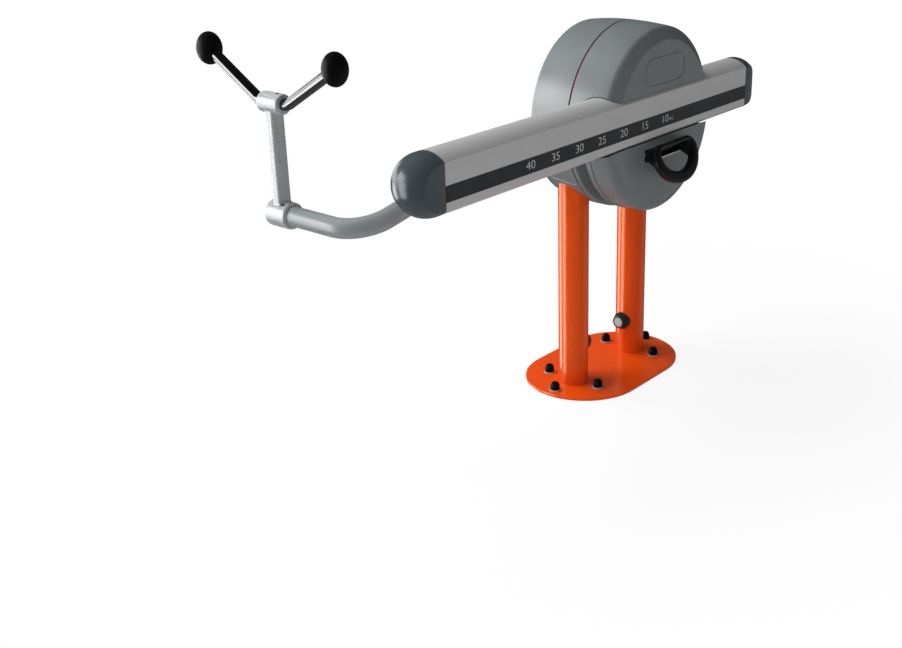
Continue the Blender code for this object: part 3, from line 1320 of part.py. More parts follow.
def build():
    # Fixed pieces
    base_plate()
    for name, side in (("left", -1), ("right", 1)):
        post(f"{name}_post", side)
        post_knob(f"{name}_post_knob", side)
        knob_disc(f"{name}_knob_disc", side)
        post_panel(f"{name}_post_panel", side)
    for i, where in enumerate(bolt_places()):
        anchor_bolt(i + 1, where)
        bolt_cap(i + 1, where)
    bearing_frame()
    bearing("front_bearing", -1)
    bearing("rear_bearing", 1)
    stop_buffer("upper_stop_buffer", -1)
    stop_buffer("lower_stop_buffer", 1)
    rear_shell()

    # Pieces that turn with the lever, about the main axle
    lever = make_pivot("lever_pivot", HUB)
    carry(lever, axle(), stop_arm(), carriage_plate(), lower_drum(), trim_ring(), lower_cover(),
          upper_cover(), badge_panel(), pawl_guide(), lever_boss(), axle_cap(), lever_tube())
    carry(lever, beam_guide("upper_guide", 1, GUIDE_WRAP_UPPER),
          beam_guide("lower_guide", -1, GUIDE_WRAP_LOWER),
          beam_glide("upper_glide", 1, GUIDE_WRAP_UPPER),
          beam_glide("lower_glide", -1, GUIDE_WRAP_LOWER),
          handle_pin("left_handle_pin", -1), handle_pin("right_handle_pin", 1))

    # Pieces that slide with the beam
    beam = make_pivot("beam_slide", BEAM_CENTRE)
    carry(beam, beam_extrusion(), scale_strip(), left_end_cap(), right_end_cap(), weight_block())

    # Handle that frees the beam, and the pawl that it pulls down
    release = make_pivot("release_pivot", HANDLE_PIVOT)
    carry(release, release_handle(), release_crank())
    pawl = make_pivot("pawl_slide", Vector((0.0, -BEAM_FORWARD, pawl_top())))
    carry(pawl, pawl_pin())

    # Link that swings on the lever's end, and the grips that turn in its sleeve
    link = make_pivot("link_pivot", LINK_LOW)
    carry(link, link_arm())
    (low_name, low, low_radius), (high_name, high, high_radius) = screw_seats()
    carry(link, set_screw(low_name, low, low_radius, TUBE_DIAMETER / 2),
          set_screw(high_name, high, high_radius, GRIP_DIAMETER / 2))
    grip = make_pivot("grip_pivot", LINK_HIGH)
    front, rear = grip_ends()
    knees = grip_knees()
    carry(grip, grip_bar(), ball_knob("front_ball_knob", front, knees[0]),
          ball_knob("rear_ball_knob", rear, knees[1]))


build()
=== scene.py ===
import math

import bmesh
import bpy
from mathutils import Matrix, Vector


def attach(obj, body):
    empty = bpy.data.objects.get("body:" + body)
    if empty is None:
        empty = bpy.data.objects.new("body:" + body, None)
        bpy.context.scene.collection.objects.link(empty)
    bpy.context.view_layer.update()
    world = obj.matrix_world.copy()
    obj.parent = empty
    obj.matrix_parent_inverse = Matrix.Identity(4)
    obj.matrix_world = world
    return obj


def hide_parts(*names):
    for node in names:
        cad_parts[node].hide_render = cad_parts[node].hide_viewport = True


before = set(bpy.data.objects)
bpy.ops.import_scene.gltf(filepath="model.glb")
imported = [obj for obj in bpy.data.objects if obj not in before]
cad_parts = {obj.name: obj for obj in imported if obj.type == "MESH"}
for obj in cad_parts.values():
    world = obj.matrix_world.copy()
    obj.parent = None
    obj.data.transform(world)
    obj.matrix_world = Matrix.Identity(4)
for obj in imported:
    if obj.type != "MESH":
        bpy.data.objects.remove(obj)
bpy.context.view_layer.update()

print("stage: frame loaded, building the looks around it")


# small helpers that do what a hand does in the viewport

def clearSelection():
    if bpy.context.mode != "OBJECT":
        bpy.ops.object.mode_set(mode="OBJECT")
    bpy.ops.object.select_all(action="DESELECT")


def makeActive(thing):
    clearSelection()
    thing.select_set(True)
    bpy.context.view_layer.objects.active = thing


def openEdit(thing, kind="FACE"):
    makeActive(thing)
    bpy.ops.object.mode_set(mode="EDIT")
    bpy.ops.mesh.select_mode(type=kind)
    bpy.ops.mesh.select_all(action="DESELECT")


def pickAll():
    bpy.ops.mesh.select_all(action="SELECT")


def closeEdit():
    bpy.ops.object.mode_set(mode="OBJECT")


def pickFaces(thing, test):
    shape = bmesh.from_edit_mesh(thing.data)
    shape.normal_update()
    for face in shape.faces:
        face.select_set(bool(test(face.calc_center_median(), face.normal)))
    bmesh.update_edit_mesh(thing.data)


def pickEdges(thing, test):
    shape = bmesh.from_edit_mesh(thing.data)
    for edge in shape.edges:
        edge.select_set(bool(test(edge.verts[0].co, edge.verts[1].co)))
    bmesh.update_edit_mesh(thing.data)


def pickPoints(thing, test):
    shape = bmesh.from_edit_mesh(thing.data)
    for point in shape.verts:
        point.select_set(bool(test(point.co)))
    shape.select_flush_mode()
    bmesh.update_edit_mesh(thing.data)


def settle(thing):
    # place and size go into the mesh
    makeActive(thing)
    bpy.ops.object.transform_apply(location=True, rotation=True, scale=True)
    return thing


def tidyMesh(thing, distance=0.00001):
    openEdit(thing, "VERT")
    pickAll()
    bpy.ops.mesh.remove_doubles(threshold=distance)
    bpy.ops.mesh.normals_make_consistent(inside=False)
    closeEdit()
    return thing


def nameIt(name):
    thing = bpy.context.object
    thing.name = name
    thing.data.name = name
    return thing


def addBlock(name, low, high):
    clearSelection()
    low, high = Vector(low), Vector(high)
    bpy.ops.mesh.primitive_cube_add(size=1.0, location=(low + high) / 2)
    block = nameIt(name)
    block.scale = high - low
    return settle(block)


def addDisc(name, radius, height, sides, rings):
    # a flat disc, divided by rings of those widths
    clearSelection()
    bpy.ops.mesh.primitive_circle_add(vertices=sides, radius=radius, fill_type="NGON", location=(0, 0, height))
    disc = settle(nameIt(name))
    openEdit(disc)
    pickAll()
    for width in rings:
        bpy.ops.mesh.inset(thickness=width)
    closeEdit()
    return disc


def addRod(name, start, end, radius, sides=48):
    clearSelection()
    start, end = Vector(start), Vector(end)
    turn = Vector((0, 0, 1)).rotation_difference(end - start).to_euler()
    bpy.ops.mesh.primitive_cylinder_add(vertices=sides, radius=radius, depth=(end - start).length,
                                        location=(start + end) / 2, rotation=turn)
    return settle(nameIt(name))


axisOf = {"X": Vector((1, 0, 0)), "Y": Vector((0, 1, 0)), "Z": Vector((0, 0, 1))}


def drawLine(name, points):
    # a plane merged to one point, then pulled out from point to point
    clearSelection()
    bpy.ops.mesh.primitive_plane_add(size=0.01, location=points[0])
    thing = nameIt(name)
    bpy.ops.object.mode_set(mode="EDIT")
    bpy.ops.mesh.select_mode(type="VERT")
    pickAll()
    bpy.ops.mesh.merge(type="CENTER")
    for before, after in zip(points, points[1:]):
        bpy.ops.mesh.extrude_region_move(TRANSFORM_OT_translate={"value": after - before})
    return thing


def turnPiece(name, profile, centre, axis, steps, ring=False):
    # profile holds (radius, place along the axis); a ring's profile closes on itself
    centre = Vector(centre)
    along = axisOf[axis]
    side = axisOf["X" if axis == "Z" else "Z"]
    points = [centre + side * radius + along * place for radius, place in profile]
    if ring:
        points.append(points[0])
    thing = drawLine(name, points)
    pickAll()
    bpy.ops.mesh.remove_doubles(threshold=0.000001)
    pickAll()
    bpy.ops.mesh.spin(steps=steps, dupli=False, angle=2 * math.pi, center=centre, axis=along)
    closeEdit()
    settle(thing)
    return tidyMesh(thing)


def arcPoints(centre, radius, start, end, count, stretch=1.0):
    points = []
    for i in range(count):
        angle = math.radians(start + (end - start) * i / (count - 1))
        points.append((centre[0] + radius * math.cos(angle), centre[1] + stretch * radius * math.sin(angle)))
    return points


def facing(profile, way):
    # the profile as it is, or turned to the other side with -1
    return [(radius, way * place) for radius, place in profile]


def easeCurve(start, bend, end, count):
    # points of a soft corner from start to end that leans towards bend
    points = []
    for i in range(count):
        t = i / (count - 1)
        points.append(tuple(a * (1 - t) ** 2 + 2 * b * t * (1 - t) + c * t * t
                            for a, b, c in zip(start, bend, end)))
    return points


def runTool(thing, kind, **values):
    makeActive(thing)
    bpy.ops.object.modifier_add(type=kind)
    tool = thing.modifiers[-1]
    for key, value in values.items():
        setattr(tool, key, value)
    bpy.ops.object.modifier_apply(modifier=tool.name)
    return thing


def joinTo(thing, other, how="DIFFERENCE"):
    runTool(thing, "BOOLEAN", operation=how, solver="EXACT", object=other)
    bpy.data.objects.remove(other, do_unlink=True)
    return thing


def sliceOff(thing, *cuts):
    # each cut has a point and a direction: what lies beyond is dropped and the cut is closed
    openEdit(thing)
    for point, way in cuts:
        pickAll()
        bpy.ops.mesh.bisect(plane_co=point, plane_no=way, use_fill=True, clear_outer=True)
    closeEdit()
    return tidyMesh(thing)


def insetFaces(thing, width, test):
    openEdit(thing)
    pickFaces(thing, test)
    bpy.ops.mesh.inset(thickness=width)
    closeEdit()


def bevelEdges(thing, width, segments, test):
    openEdit(thing, "EDGE")
    pickEdges(thing, test)
    bpy.ops.mesh.bevel(offset=width, segments=segments, affect="EDGES")
    closeEdit()
    return thing


def softenEdges(thing, width, segments=3, angle=35.0):
    return runTool(thing, "BEVEL", width=width, segments=segments, limit_method="ANGLE",
                   angle_limit=math.radians(angle), use_clamp_overlap=True)


def copyOf(thing, name):
    clearSelection()
    twin = thing.copy()
    twin.data = thing.data.copy()
    twin.name = name
    twin.data.name = name
    bpy.context.scene.collection.objects.link(twin)
    return twin


def moveMesh(thing, step):
    makeActive(thing)
    bpy.ops.transform.translate(value=step)
    return settle(thing)


def wrapUp(thing, body, finish, nodes=(), smooth=30.0):
    makeActive(thing)
    if smooth:
        bpy.ops.object.shade_smooth_by_angle(angle=math.radians(smooth))
    thing.data.materials.clear()
    thing.data.materials.append(finishFor(finish))
    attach(thing, body)
    if nodes:
        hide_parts(*nodes)
    return thing


# finishes

# colour and shade are the two ends of the mottling; grain is a fine bump in metres; the scales are those of the
# mottling, of the uneven gloss and of the grain
finishTable = {
    "orangePaint": {
        "colour": (0.765, 0.074, 0.0046), "shade": (0.725, 0.068, 0.0040), "rough": (0.18, 0.24),
        "scales": (9.0, 30.0, 260.0), "grain": 0.00003, "specular": 0.55, "tint": (0.75, 1.0, 0.66)},
    "drumPlastic": {
        "colour": (0.157, 0.173, 0.179), "shade": (0.143, 0.158, 0.164), "rough": (0.30, 0.36),
        "scales": (14.0, 60.0, 900.0), "grain": 0.00003, "specular": 0.75},
    "greyPaint": {
        "colour": (0.232, 0.254, 0.262), "shade": (0.214, 0.236, 0.244), "rough": (0.27, 0.32),
        "scales": (12.0, 45.0, 420.0), "grain": 0.00002, "specular": 0.60},
    "beamAluminium": {
        "colour": (0.56, 0.56, 0.56), "shade": (0.51, 0.51, 0.512), "rough": (0.36, 0.46),
        "scales": (5.0, 18.0, 240.0), "grain": 0.00002, "specular": 0.4, "metal": 0.28, "stretch": (0.02, 1.0, 1.0)},
    "stripBlack": {
        "colour": (0.026, 0.028, 0.031), "shade": (0.020, 0.022, 0.025), "rough": (0.42, 0.52),
        "scales": (20.0, 80.0, 1200.0), "grain": 0.00002, "specular": 0.35},
    "stripWhite": {
        "colour": (0.55, 0.55, 0.55), "shade": (0.48, 0.48, 0.48), "rough": (0.45, 0.55),
        "scales": (60.0, 90.0, 900.0), "grain": 0.00001, "specular": 0.4},
    "slatePlastic": {
        "colour": (0.054, 0.069, 0.078), "shade": (0.046, 0.060, 0.069), "rough": (0.20, 0.28),
        "scales": (10.0, 25.0, 500.0), "grain": 0.00002, "specular": 0.45},
    "blackPlastic": {
        "colour": (0.0040, 0.0040, 0.0044), "shade": (0.0030, 0.0030, 0.0034), "rough": (0.38, 0.48),
        "scales": (30.0, 60.0, 700.0), "grain": 0.00003, "specular": 0.10},
    "knobPlastic": {
        "colour": (0.020, 0.024, 0.027), "shade": (0.015, 0.019, 0.022), "rough": (0.28, 0.38),
        "scales": (40.0, 90.0, 800.0), "grain": 0.00002, "specular": 0.3},
    "blackRubber": {
        "colour": (0.0080, 0.0080, 0.0085), "shade": (0.0055, 0.0055, 0.0060), "rough": (0.28, 0.40),
        "scales": (60.0, 160.0, 900.0), "grain": 0.00005, "specular": 0.40},
    "silverCasting": {
        "colour": (0.53, 0.55, 0.555), "shade": (0.24, 0.255, 0.26), "rough": (0.30, 0.46),
        "scales": (300.0, 300.0, 380.0), "grain": 0.00012, "metal": 0.30},
    "chromeTube": {
        "colour": (0.155, 0.155, 0.158), "shade": (0.140, 0.140, 0.143), "rough": (0.10, 0.15),
        "scales": (30.0, 50.0, 300.0), "grain": 0.000004, "metal": 1.0},
    "discGrey": {
        "colour": (0.42, 0.43, 0.44), "shade": (0.37, 0.38, 0.39), "rough": (0.32, 0.42),
        "scales": (120.0, 200.0, 900.0), "grain": 0.00001},
    "zincSteel": {
        "colour": (0.60, 0.61, 0.62), "shade": (0.50, 0.51, 0.53), "rough": (0.25, 0.38),
        "scales": (90.0, 160.0, 700.0), "grain": 0.00002, "metal": 0.4},
    "darkSteel": {
        "colour": (0.10, 0.10, 0.11), "shade": (0.07, 0.07, 0.08), "rough": (0.40, 0.55),
        "scales": (50.0, 120.0, 500.0), "grain": 0.00004, "metal": 0.8},
    "glidePlastic": {
        "colour": (0.75, 0.75, 0.72), "shade": (0.68, 0.68, 0.65), "rough": (0.42, 0.55),
        "scales": (40.0, 90.0, 600.0), "grain": 0.00002},
}
madeFinishes = {}


def fillInputs(tree, node, inputs):
    # each input gets its value, or is joined to another node's output
    for key, value in inputs.items():
        if isinstance(value, bpy.types.NodeSocket):
            tree.links.new(value, node.inputs[key])
        else:
            node.inputs[key].default_value = value


def addNode(tree, kind, inputs, operation=None):
    node = tree.nodes.new("ShaderNode" + kind)
    if operation:
        node.operation = operation
    fillInputs(tree, node, inputs)
    return node


def finishFor(name):
    # mottled colour, uneven gloss and a fine grain, all from the object's own coordinates
    if name in madeFinishes:
        return madeFinishes[name]
    look = finishTable[name]
    material = bpy.data.materials.new(name)
    material.use_nodes = True
    tree = material.node_tree
    place = addNode(tree, "TexCoord", {})
    mapping = addNode(tree, "Mapping", {"Scale": look.get("stretch", (1.0, 1.0, 1.0)),
                                        "Vector": place.outputs["Object"]})

    def cloud(scale, detail):
        return addNode(tree, "TexNoise", {"Scale": scale, "Detail": detail, "Roughness": 0.6,
                                          "Vector": mapping.outputs["Vector"]}).outputs["Fac"]

    mottling, unevenness, graininess = look["scales"]
    blend = addNode(tree, "ValToRGB", {"Fac": cloud(mottling, 4.0)})
    ends = blend.color_ramp.elements
    ends[0].position, ends[1].position = 0.35, 0.65
    ends[0].color, ends[1].color = (*look["shade"], 1), (*look["colour"], 1)
    lowRough, highRough = look["rough"]
    gloss = addNode(tree, "MapRange", {"From Min": 0.3, "From Max": 0.7, "To Min": lowRough, "To Max": highRough,
                                       "Value": cloud(unevenness, 3.0)})
    bump = addNode(tree, "Bump", {"Strength": 0.6, "Distance": look["grain"], "Height": cloud(graininess, 2.0)})
    fillInputs(tree, tree.nodes["Principled BSDF"], {
        "Metallic": look.get("metal", 0.0), "Specular IOR Level": look.get("specular", 0.5),
        "Specular Tint": (*look.get("tint", (1.0, 1.0, 1.0)), 1), "Base Color": blend.outputs["Color"],
        "Roughness": gloss.outputs["Result"], "Normal": bump.outputs["Normal"]})
    madeFinishes[name] = material
    return material


# camera, floor, light

camera = {"place": (-3.3953, -2.4100, 1.8872), "right": (0.5996, -0.8003, 0.0),
          "up": (0.3067, 0.2298, 0.9236), "lens": 51.24, "sensor": 36.0, "shift": -0.1341}
clearSelection()
bpy.ops.object.camera_add(location=camera["place"])
eye = bpy.context.object
eye.name = "stationCamera"
rightWay = Vector(camera["right"]).normalized()
upWay = Vector(camera["up"]).normalized()
eye.matrix_world = Matrix.Translation(camera["place"]) @ Matrix(
    (rightWay, upWay, rightWay.cross(upWay))).transposed().to_4x4()
eye.data.lens = camera["lens"]
eye.data.sensor_width = camera["sensor"]
eye.data.shift_x = camera["shift"]
bpy.context.scene.camera = eye
bpy.context.scene.view_settings.view_transform = "Standard"

# soft boxes: place, what they point at, width, height, power; the light cards below are what reflections see
lamps = {
    "wideBoxLeft": ((-3.15, 1.95, 2.15), (0.0, 0.0, 0.80), 2.2, 2.5, 55.0),
    "narrowBoxLeft": ((-1.30, 3.80, 1.45), (0.0, 0.0, 0.75), 0.9, 2.7, 26.0),
    "topBox": ((-0.9, 1.8, 3.2), (-0.3, 0.0, 0.9), 2.4, 2.2, 113.0),
    "fillBox": ((-2.6, -3.7, 1.0), (0.0, 0.0, 0.85), 2.8, 1.6, 33.0),
    "backBox": ((3.3, 2.2, 2.2), (0.0, 0.0, 0.9), 1.2, 2.4, 22.0),
}
for lampName, (place, target, width, height, power) in lamps.items():
    clearSelection()
    bpy.ops.object.light_add(type="AREA", location=place)
    lamp = bpy.context.object
    lamp.name = lampName
    lamp.rotation_euler = (Vector(target) - Vector(place)).to_track_quat("-Z", "Y").to_euler()
    lamp.data.shape = "RECTANGLE"
    lamp.data.size = width
    lamp.data.size_y = height
    lamp.data.energy = power
    lamp.visible_camera = False
    lamp.visible_glossy = False

# a dark room round everything, which only reflections see
room = {"radius": 13.5, "height": 24.0, "level": 0.032}


def barePaint(name):
    # a material that has only its output
    paint = bpy.data.materials.new(name)
    paint.use_nodes = True
    paint.node_tree.nodes.remove(paint.node_tree.nodes["Principled BSDF"])
    return paint, paint.node_tree


def glowInReflections(thing, level):
    # an even glow that only reflections see
    paint, tree = barePaint(thing.name + "Glow")
    glow = addNode(tree, "Emission", {"Color": (1, 1, 1, 1), "Strength": level})
    fillInputs(tree, tree.nodes["Material Output"], {"Surface": glow.outputs[0]})
    thing.data.materials.append(paint)
    for kind in ("visible_camera", "visible_diffuse", "visible_shadow", "visible_transmission"):
        setattr(thing, kind, False)


clearSelection()
bpy.ops.mesh.primitive_cylinder_add(vertices=64, radius=room["radius"], depth=room["height"], location=(0, 0, 0.5))
roomWall = settle(nameIt("studioRoom"))
insetFaces(roomWall, 4.0, lambda co, way: abs(way.z) > 0.9)
glowInReflections(roomWall, room["level"])

# light cards that stand far off: direction, half its width, lowest and highest, all in degrees, and level
cards = {
    "wideCard": (145.0, 13.5, -28.0, 12.0, 6.4),
    "narrowCard": (105.0, 12.0, -28.0, -6.0, 6.2),
    "highCard": (132.5, 16.5, 9.0, 28.0, 6.6),
    "dimCard": (99.0, 30.0, -6.0, 13.0, 3.3),
    "frontCard": (-37.0, 30.0, -32.0, 4.0, 0.34),
}
cardReach = 11.0
for cardName, (direction, half, low, high, level) in cards.items():
    clearSelection()
    angle = math.radians(direction)
    bottom, top = (0.6 + cardReach * math.tan(math.radians(value)) for value in (low, high))
    middle = (cardReach * math.cos(angle), cardReach * math.sin(angle), (bottom + top) / 2)
    bpy.ops.mesh.primitive_plane_add(size=2.0, location=middle, rotation=(math.pi / 2, 0, angle + math.pi / 2))
    card = nameIt(cardName)
    card.scale = (cardReach * math.tan(math.radians(half)), (top - bottom) / 2, 1)
    settle(card)
    glowInReflections(card, level)

# a faint card far below
below = {"height": -7.0, "level": 0.22}
lowCard = addDisc("lowCard", cardReach, below["height"], 64, (4.0,))
glowInReflections(lowCard, below["level"])


def straightRays(tree):
    # 1 for what the camera sees, straight, in a gloss or through glass, and 0 for light that falls on things
    paths = addNode(tree, "LightPath", {})
    seen = addNode(tree, "Math", {0: paths.outputs["Is Camera Ray"], 1: paths.outputs["Is Glossy Ray"]}, "MAXIMUM")
    seenAll = addNode(tree, "Math", {0: seen.outputs[0], 1: paths.outputs["Is Transmission Ray"]}, "MAXIMUM")
    return seenAll.outputs[0]


world = bpy.data.worlds.new("studioWorld")
bpy.context.scene.world = world
world.use_nodes = True
# soft light from all round, and white behind the object
strength = addNode(world.node_tree, "MapRange", {"To Min": 0.27, "To Max": 1.0,
                                                 "Value": straightRays(world.node_tree)})
fillInputs(world.node_tree, world.node_tree.nodes["Background"], {
    "Color": (1, 1, 1, 1), "Strength": strength.outputs["Result"]})

# the floor shows white and keeps a faint shadow near the plate
floorLook = {"radius": 14.0, "height": -0.0005, "shadowShare": 0.16, "shadowReach": (0.5, 1.9)}
floor = addDisc("studioFloor", floorLook["radius"], floorLook["height"], 96, (6.0, 4.0))
floorPaint, tree = barePaint("floorWhite")
matt = addNode(tree, "BsdfDiffuse", {"Color": (0.90, 0.90, 0.90, 1)})
glow = addNode(tree, "Emission", {"Strength": 1.0})
where = addNode(tree, "TexCoord", {})
spread = addNode(tree, "VectorMath", {0: where.outputs["Object"]}, "LENGTH")
nearest, farthest = floorLook["shadowReach"]
share = addNode(tree, "MapRange", {"From Min": nearest, "From Max": farthest, "Value": spread.outputs["Value"],
                                   "To Min": 1.0 - floorLook["shadowShare"], "To Max": 1.0})
share.interpolation_type = "SMOOTHSTEP"
amount = addNode(tree, "Math", {0: share.outputs["Result"], 1: straightRays(tree)}, "MULTIPLY")
floorMix = addNode(tree, "MixShader", {"Fac": amount.outputs[0], 1: matt.outputs[0], 2: glow.outputs[0]})
fillInputs(tree, tree.nodes["Material Output"], {"Surface": floorMix.outputs[0]})
floor.data.materials.append(floorPaint)
floor.visible_glossy = False
print("stage: camera, floor and lamps are up")


# base plate and posts

plate = {"endRadius": 0.205, "halfStraight": 0.105, "thickness": 0.010, "rim": 0.0022}
clearSelection()
bpy.ops.mesh.primitive_cylinder_add(vertices=140, radius=plate["endRadius"], depth=plate["thickness"],
                                    location=(0, 0, plate["thickness"] / 2), rotation=(0, 0, math.pi / 140))
basePlate = settle(nameIt("basePlate"))
openEdit(basePlate, "VERT")
for side in (-1, 1):
    pickPoints(basePlate, lambda co, s=side: co.x * s > 0)
    bpy.ops.transform.translate(value=(side * plate["halfStraight"], 0, 0))
insetFaces(basePlate, 0.006, lambda co, way: abs(way.z) > 0.9)
softenEdges(basePlate, plate["rim"], 3, 60)
wrapUp(basePlate, "base", "orangePaint", ("base_plate",), 50)

post = {"x": 0.170, "radius": 0.0508, "inner": 0.0472, "low": 0.0103, "high": 1.0103}
wide, inner, low, high = post["radius"], post["inner"], post["low"], post["high"]
tubeProfile = [(wide, low), (wide, low + 0.01), (wide, high - 0.002), (wide - 0.001, high), (inner, high),
               (inner, low)]
for side, word in ((-1, "left"), (1, "right")):
    tube = turnPiece(f"{word}PostTube", tubeProfile, (side * post["x"], 0, 0), "Z", 112, True)
    wrapUp(tube, "base", "orangePaint", (f"{word}_post",), 40)
print("stage: plate and posts")


# ground fixings: one of each is modelled, the rest are copies

fixing = {"distance": 0.104, "washer": 0.0195, "washerLow": 0.0103, "washerHigh": 0.0133,
          "nut": 0.011, "nutHigh": 0.0253, "stud": 0.007, "capRadius": 0.017, "capLow": 0.0136,
          "capStraight": 0.0125, "capTop": 0.0410, "capHollow": 0.0125, "capFlats": 12}
boltPlaces = []
for side in (-1, 1):
    x = side * post["x"]
    boltPlaces += [Vector((x, -fixing["distance"], 0)), Vector((x, fixing["distance"], 0)),
                   Vector((x + side * fixing["distance"], 0, 0))]

stud, nut, washer = fixing["stud"], fixing["nut"], fixing["washer"]
studTop, washerTop, foot = fixing["nutHigh"], fixing["washerHigh"], fixing["washerLow"]
boltProfile = [(0, studTop), (stud - 0.001, studTop), (stud, studTop - 0.001), (stud, studTop - 0.0015),
               (nut - 0.002, studTop - 0.0015), (nut, studTop - 0.0035), (nut, washerTop), (washer - 0.0006, washerTop),
               (washer, washerTop - 0.0006), (washer, foot + 0.0004), (washer - 0.0004, foot), (0, foot)]
bolt = turnPiece("anchorBolt1", boltProfile, boltPlaces[0], "Z", 48)
foot, wide, hollow = fixing["capLow"], fixing["capRadius"], fixing["capHollow"]
dome = wide - 0.0012
capProfile = [(wide - 0.002, foot), (wide - 0.0006, foot), (wide, foot + 0.0006), (wide, foot + 0.0035),
              (dome, foot + 0.0045)]
capProfile += arcPoints((0, foot + fixing["capStraight"]), dome, 0, 90, 12,
                        (fixing["capTop"] - foot - fixing["capStraight"]) / dome)
capProfile += [(0, fixing["capTop"] - 0.004), (hollow, foot + 0.014), (hollow, foot)]
cap = turnPiece("boltCap1", capProfile, boltPlaces[0], "Z", fixing["capFlats"], True)
for number, place in enumerate(boltPlaces, 1):
    step = place - boltPlaces[0]
    oneBolt = bolt if number == 1 else moveMesh(copyOf(bolt, f"anchorBolt{number}"), step)
    oneCap = cap if number == 1 else moveMesh(copyOf(cap, f"boltCap{number}"), step)
    wrapUp(oneBolt, "base", "zincSteel", (f"anchor_bolt_{number}",))
    wrapUp(oneCap, "base", "blackPlastic", (f"bolt_cap_{number}",), 24)

knob = {"z": 0.135, "root": 0.040, "base": 0.0305, "top": 0.024, "depth": 0.024, "disc": 0.0165, "recess": 0.002}
wide, narrow, disc, recess = knob["base"], knob["top"], knob["disc"], knob["recess"]
end = post["radius"] + knob["depth"]
knobProfile = [(0, knob["root"]), (wide - 0.001, knob["root"]), (wide, 0.041), (wide, post["radius"] + 0.006),
               (wide - 0.0008, post["radius"] + 0.0075)]
knobProfile += easeCurve((narrow + 0.0008, end - 0.006), (narrow, end), (narrow - 0.004, end), 7)
knobProfile += [(disc + 0.0008, end), (disc + 0.0003, end - 0.0005), (disc + 0.0003, end - recess), (0, end - recess)]
seat = end - recess + 0.0003
discProfile = [(0, end), (disc - 0.0006, end), (disc, end - 0.0005), (disc, seat), (0, seat)]
for side, word in ((-1, "left"), (1, "right")):
    x = side * post["x"]
    grip = turnPiece(f"{word}PostKnob", facing(knobProfile, -side), (x, 0, knob["z"]), "X", 64)
    joinTo(grip, addRod("saddle", (x, 0, 0.05), (x, 0, 0.25), post["radius"] + 0.0003, 112))
    wrapUp(grip, "base", "knobPlastic", (f"{word}_post_knob",), 35)
    bareDisc = turnPiece(f"{word}KnobDisc", facing(discProfile, -side), (x, 0, knob["z"]), "X", 48)
    wrapUp(bareDisc, "base", "discGrey", (f"{word}_knob_disc",), 35)
print("stage: fixings and post knobs")


# rear half of the drum

hubHeight = 0.919
hub = Vector((0, 0, hubHeight))
shell = {"seam": -0.0689, "radius": 0.300, "fall": 0.010, "cornerFrom": 0.062, "corner": 0.030,
         "rear": 0.092, "hole": 0.048, "wall": 0.004, "steps": 168,
         "panelX": (0.108, 0.232), "panelY": 0.058, "panelLow": 0.60, "panelHigh": 0.76, "panelGap": 0.0022,
         "panelEdge": 0.0015, "panelHole": 0.0518}
wide, seam, turnAt = shell["radius"], shell["seam"], shell["cornerFrom"]
corner, rear, hole, wall = shell["corner"], shell["rear"], shell["hole"], shell["wall"]
outside = [(wide - 0.0018, seam)]
for i in range(1, 13):
    along = seam + (turnAt - seam) * (i - 0.9) / 11.1
    part = (along - seam) / (turnAt - seam)
    outside.append((wide - shell["fall"] * part * part, along))
edge = wide - shell["fall"] - corner
outside += arcPoints((edge, turnAt), corner, 0, 90, 9)[1:]
outside += [(edge - 0.03, rear), (hole + 0.001, rear), (hole, rear - 0.001), (hole, rear - wall)]
inside = arcPoints((edge, turnAt), corner - wall, 90, 0, 6) + [(wide - wall, seam)]
rearShell = turnPiece("rearShell", outside + inside, hub, "Y", shell["steps"], True)
shellCopy = copyOf(rearShell, "panelStock")
for side, word in ((-1, "left"), (1, "right")):
    low, high = sorted(side * x for x in shell["panelX"])
    gap, deep, foot, head = (shell[key] for key in ("panelGap", "panelY", "panelLow", "panelHigh"))
    joinTo(rearShell, addBlock("window", (low - gap, -deep - gap, foot), (high + gap, deep + gap, head)))
    panel = copyOf(shellCopy, f"{word}PostPanel")
    joinTo(panel, addBlock("blank", (low, -deep, foot), (high, deep, head)), "INTERSECT")
    x = side * post["x"]
    joinTo(panel, addRod("postWay", (x, 0, 0.55), (x, 0, 0.80), shell["panelHole"], 96))
    tidyMesh(panel, 0.00002)
    softenEdges(panel, shell["panelEdge"], 2, 60)
    wrapUp(panel, "base", "drumPlastic", (f"{word}_post_panel",))
bpy.data.objects.remove(shellCopy, do_unlink=True)
tidyMesh(rearShell, 0.00002)
wrapUp(rearShell, "base", "drumPlastic", ("rear_shell",))

# orange seal inside the seam, and a black ring on the rear rim beside it that paints the seam gap's shade
sealRings = {"seamSeal": (0.2976, 0.2945, -0.0717, -0.0726, "orangePaint"),
             # the black ring is painted shade for the narrow seam gap
             "seamPaintedShade": (0.2962, 0.2920, -0.0690, -0.0717, "blackRubber")}
for ringName, (outer, inner, rear, ahead, finish) in sealRings.items():
    tiny = 0.0002
    profile = [(inner, rear), (outer - tiny, rear), (outer, rear - tiny), (outer, ahead + tiny), (outer - tiny, ahead),
               (inner, ahead)]
    wrapUp(turnPiece(ringName, profile, hub, "Y", shell["steps"], True), "base", finish)
print("stage: rear shell")


# front half of the drum, above the beam

beam = {"radius": 0.0885, "y": -0.176, "z": 0.944, "front": -0.236, "left": -1.036, "right": 0.507,
        "wall": 0.004, "stripLow": 0.901, "stripHigh": 0.947, "stripDeep": 0.0012,
        "pitch": 0.114, "holes": 7, "hole": 0.009, "holeLow": 0.845, "holeHigh": 0.862, "edge": 0.0008}
cover = {"seam": -0.073, "radius": 0.300, "fall": 0.006, "face": -0.231, "faceRadius": 0.254,
         "cut": 0.9443, "tunnel": 0.0915, "steps": 168}


def beamRod(name, radius, sides=128):
    return addRod(name, (-1.3, beam["y"], beam["z"]), (0.7, beam["y"], beam["z"]), radius, sides)


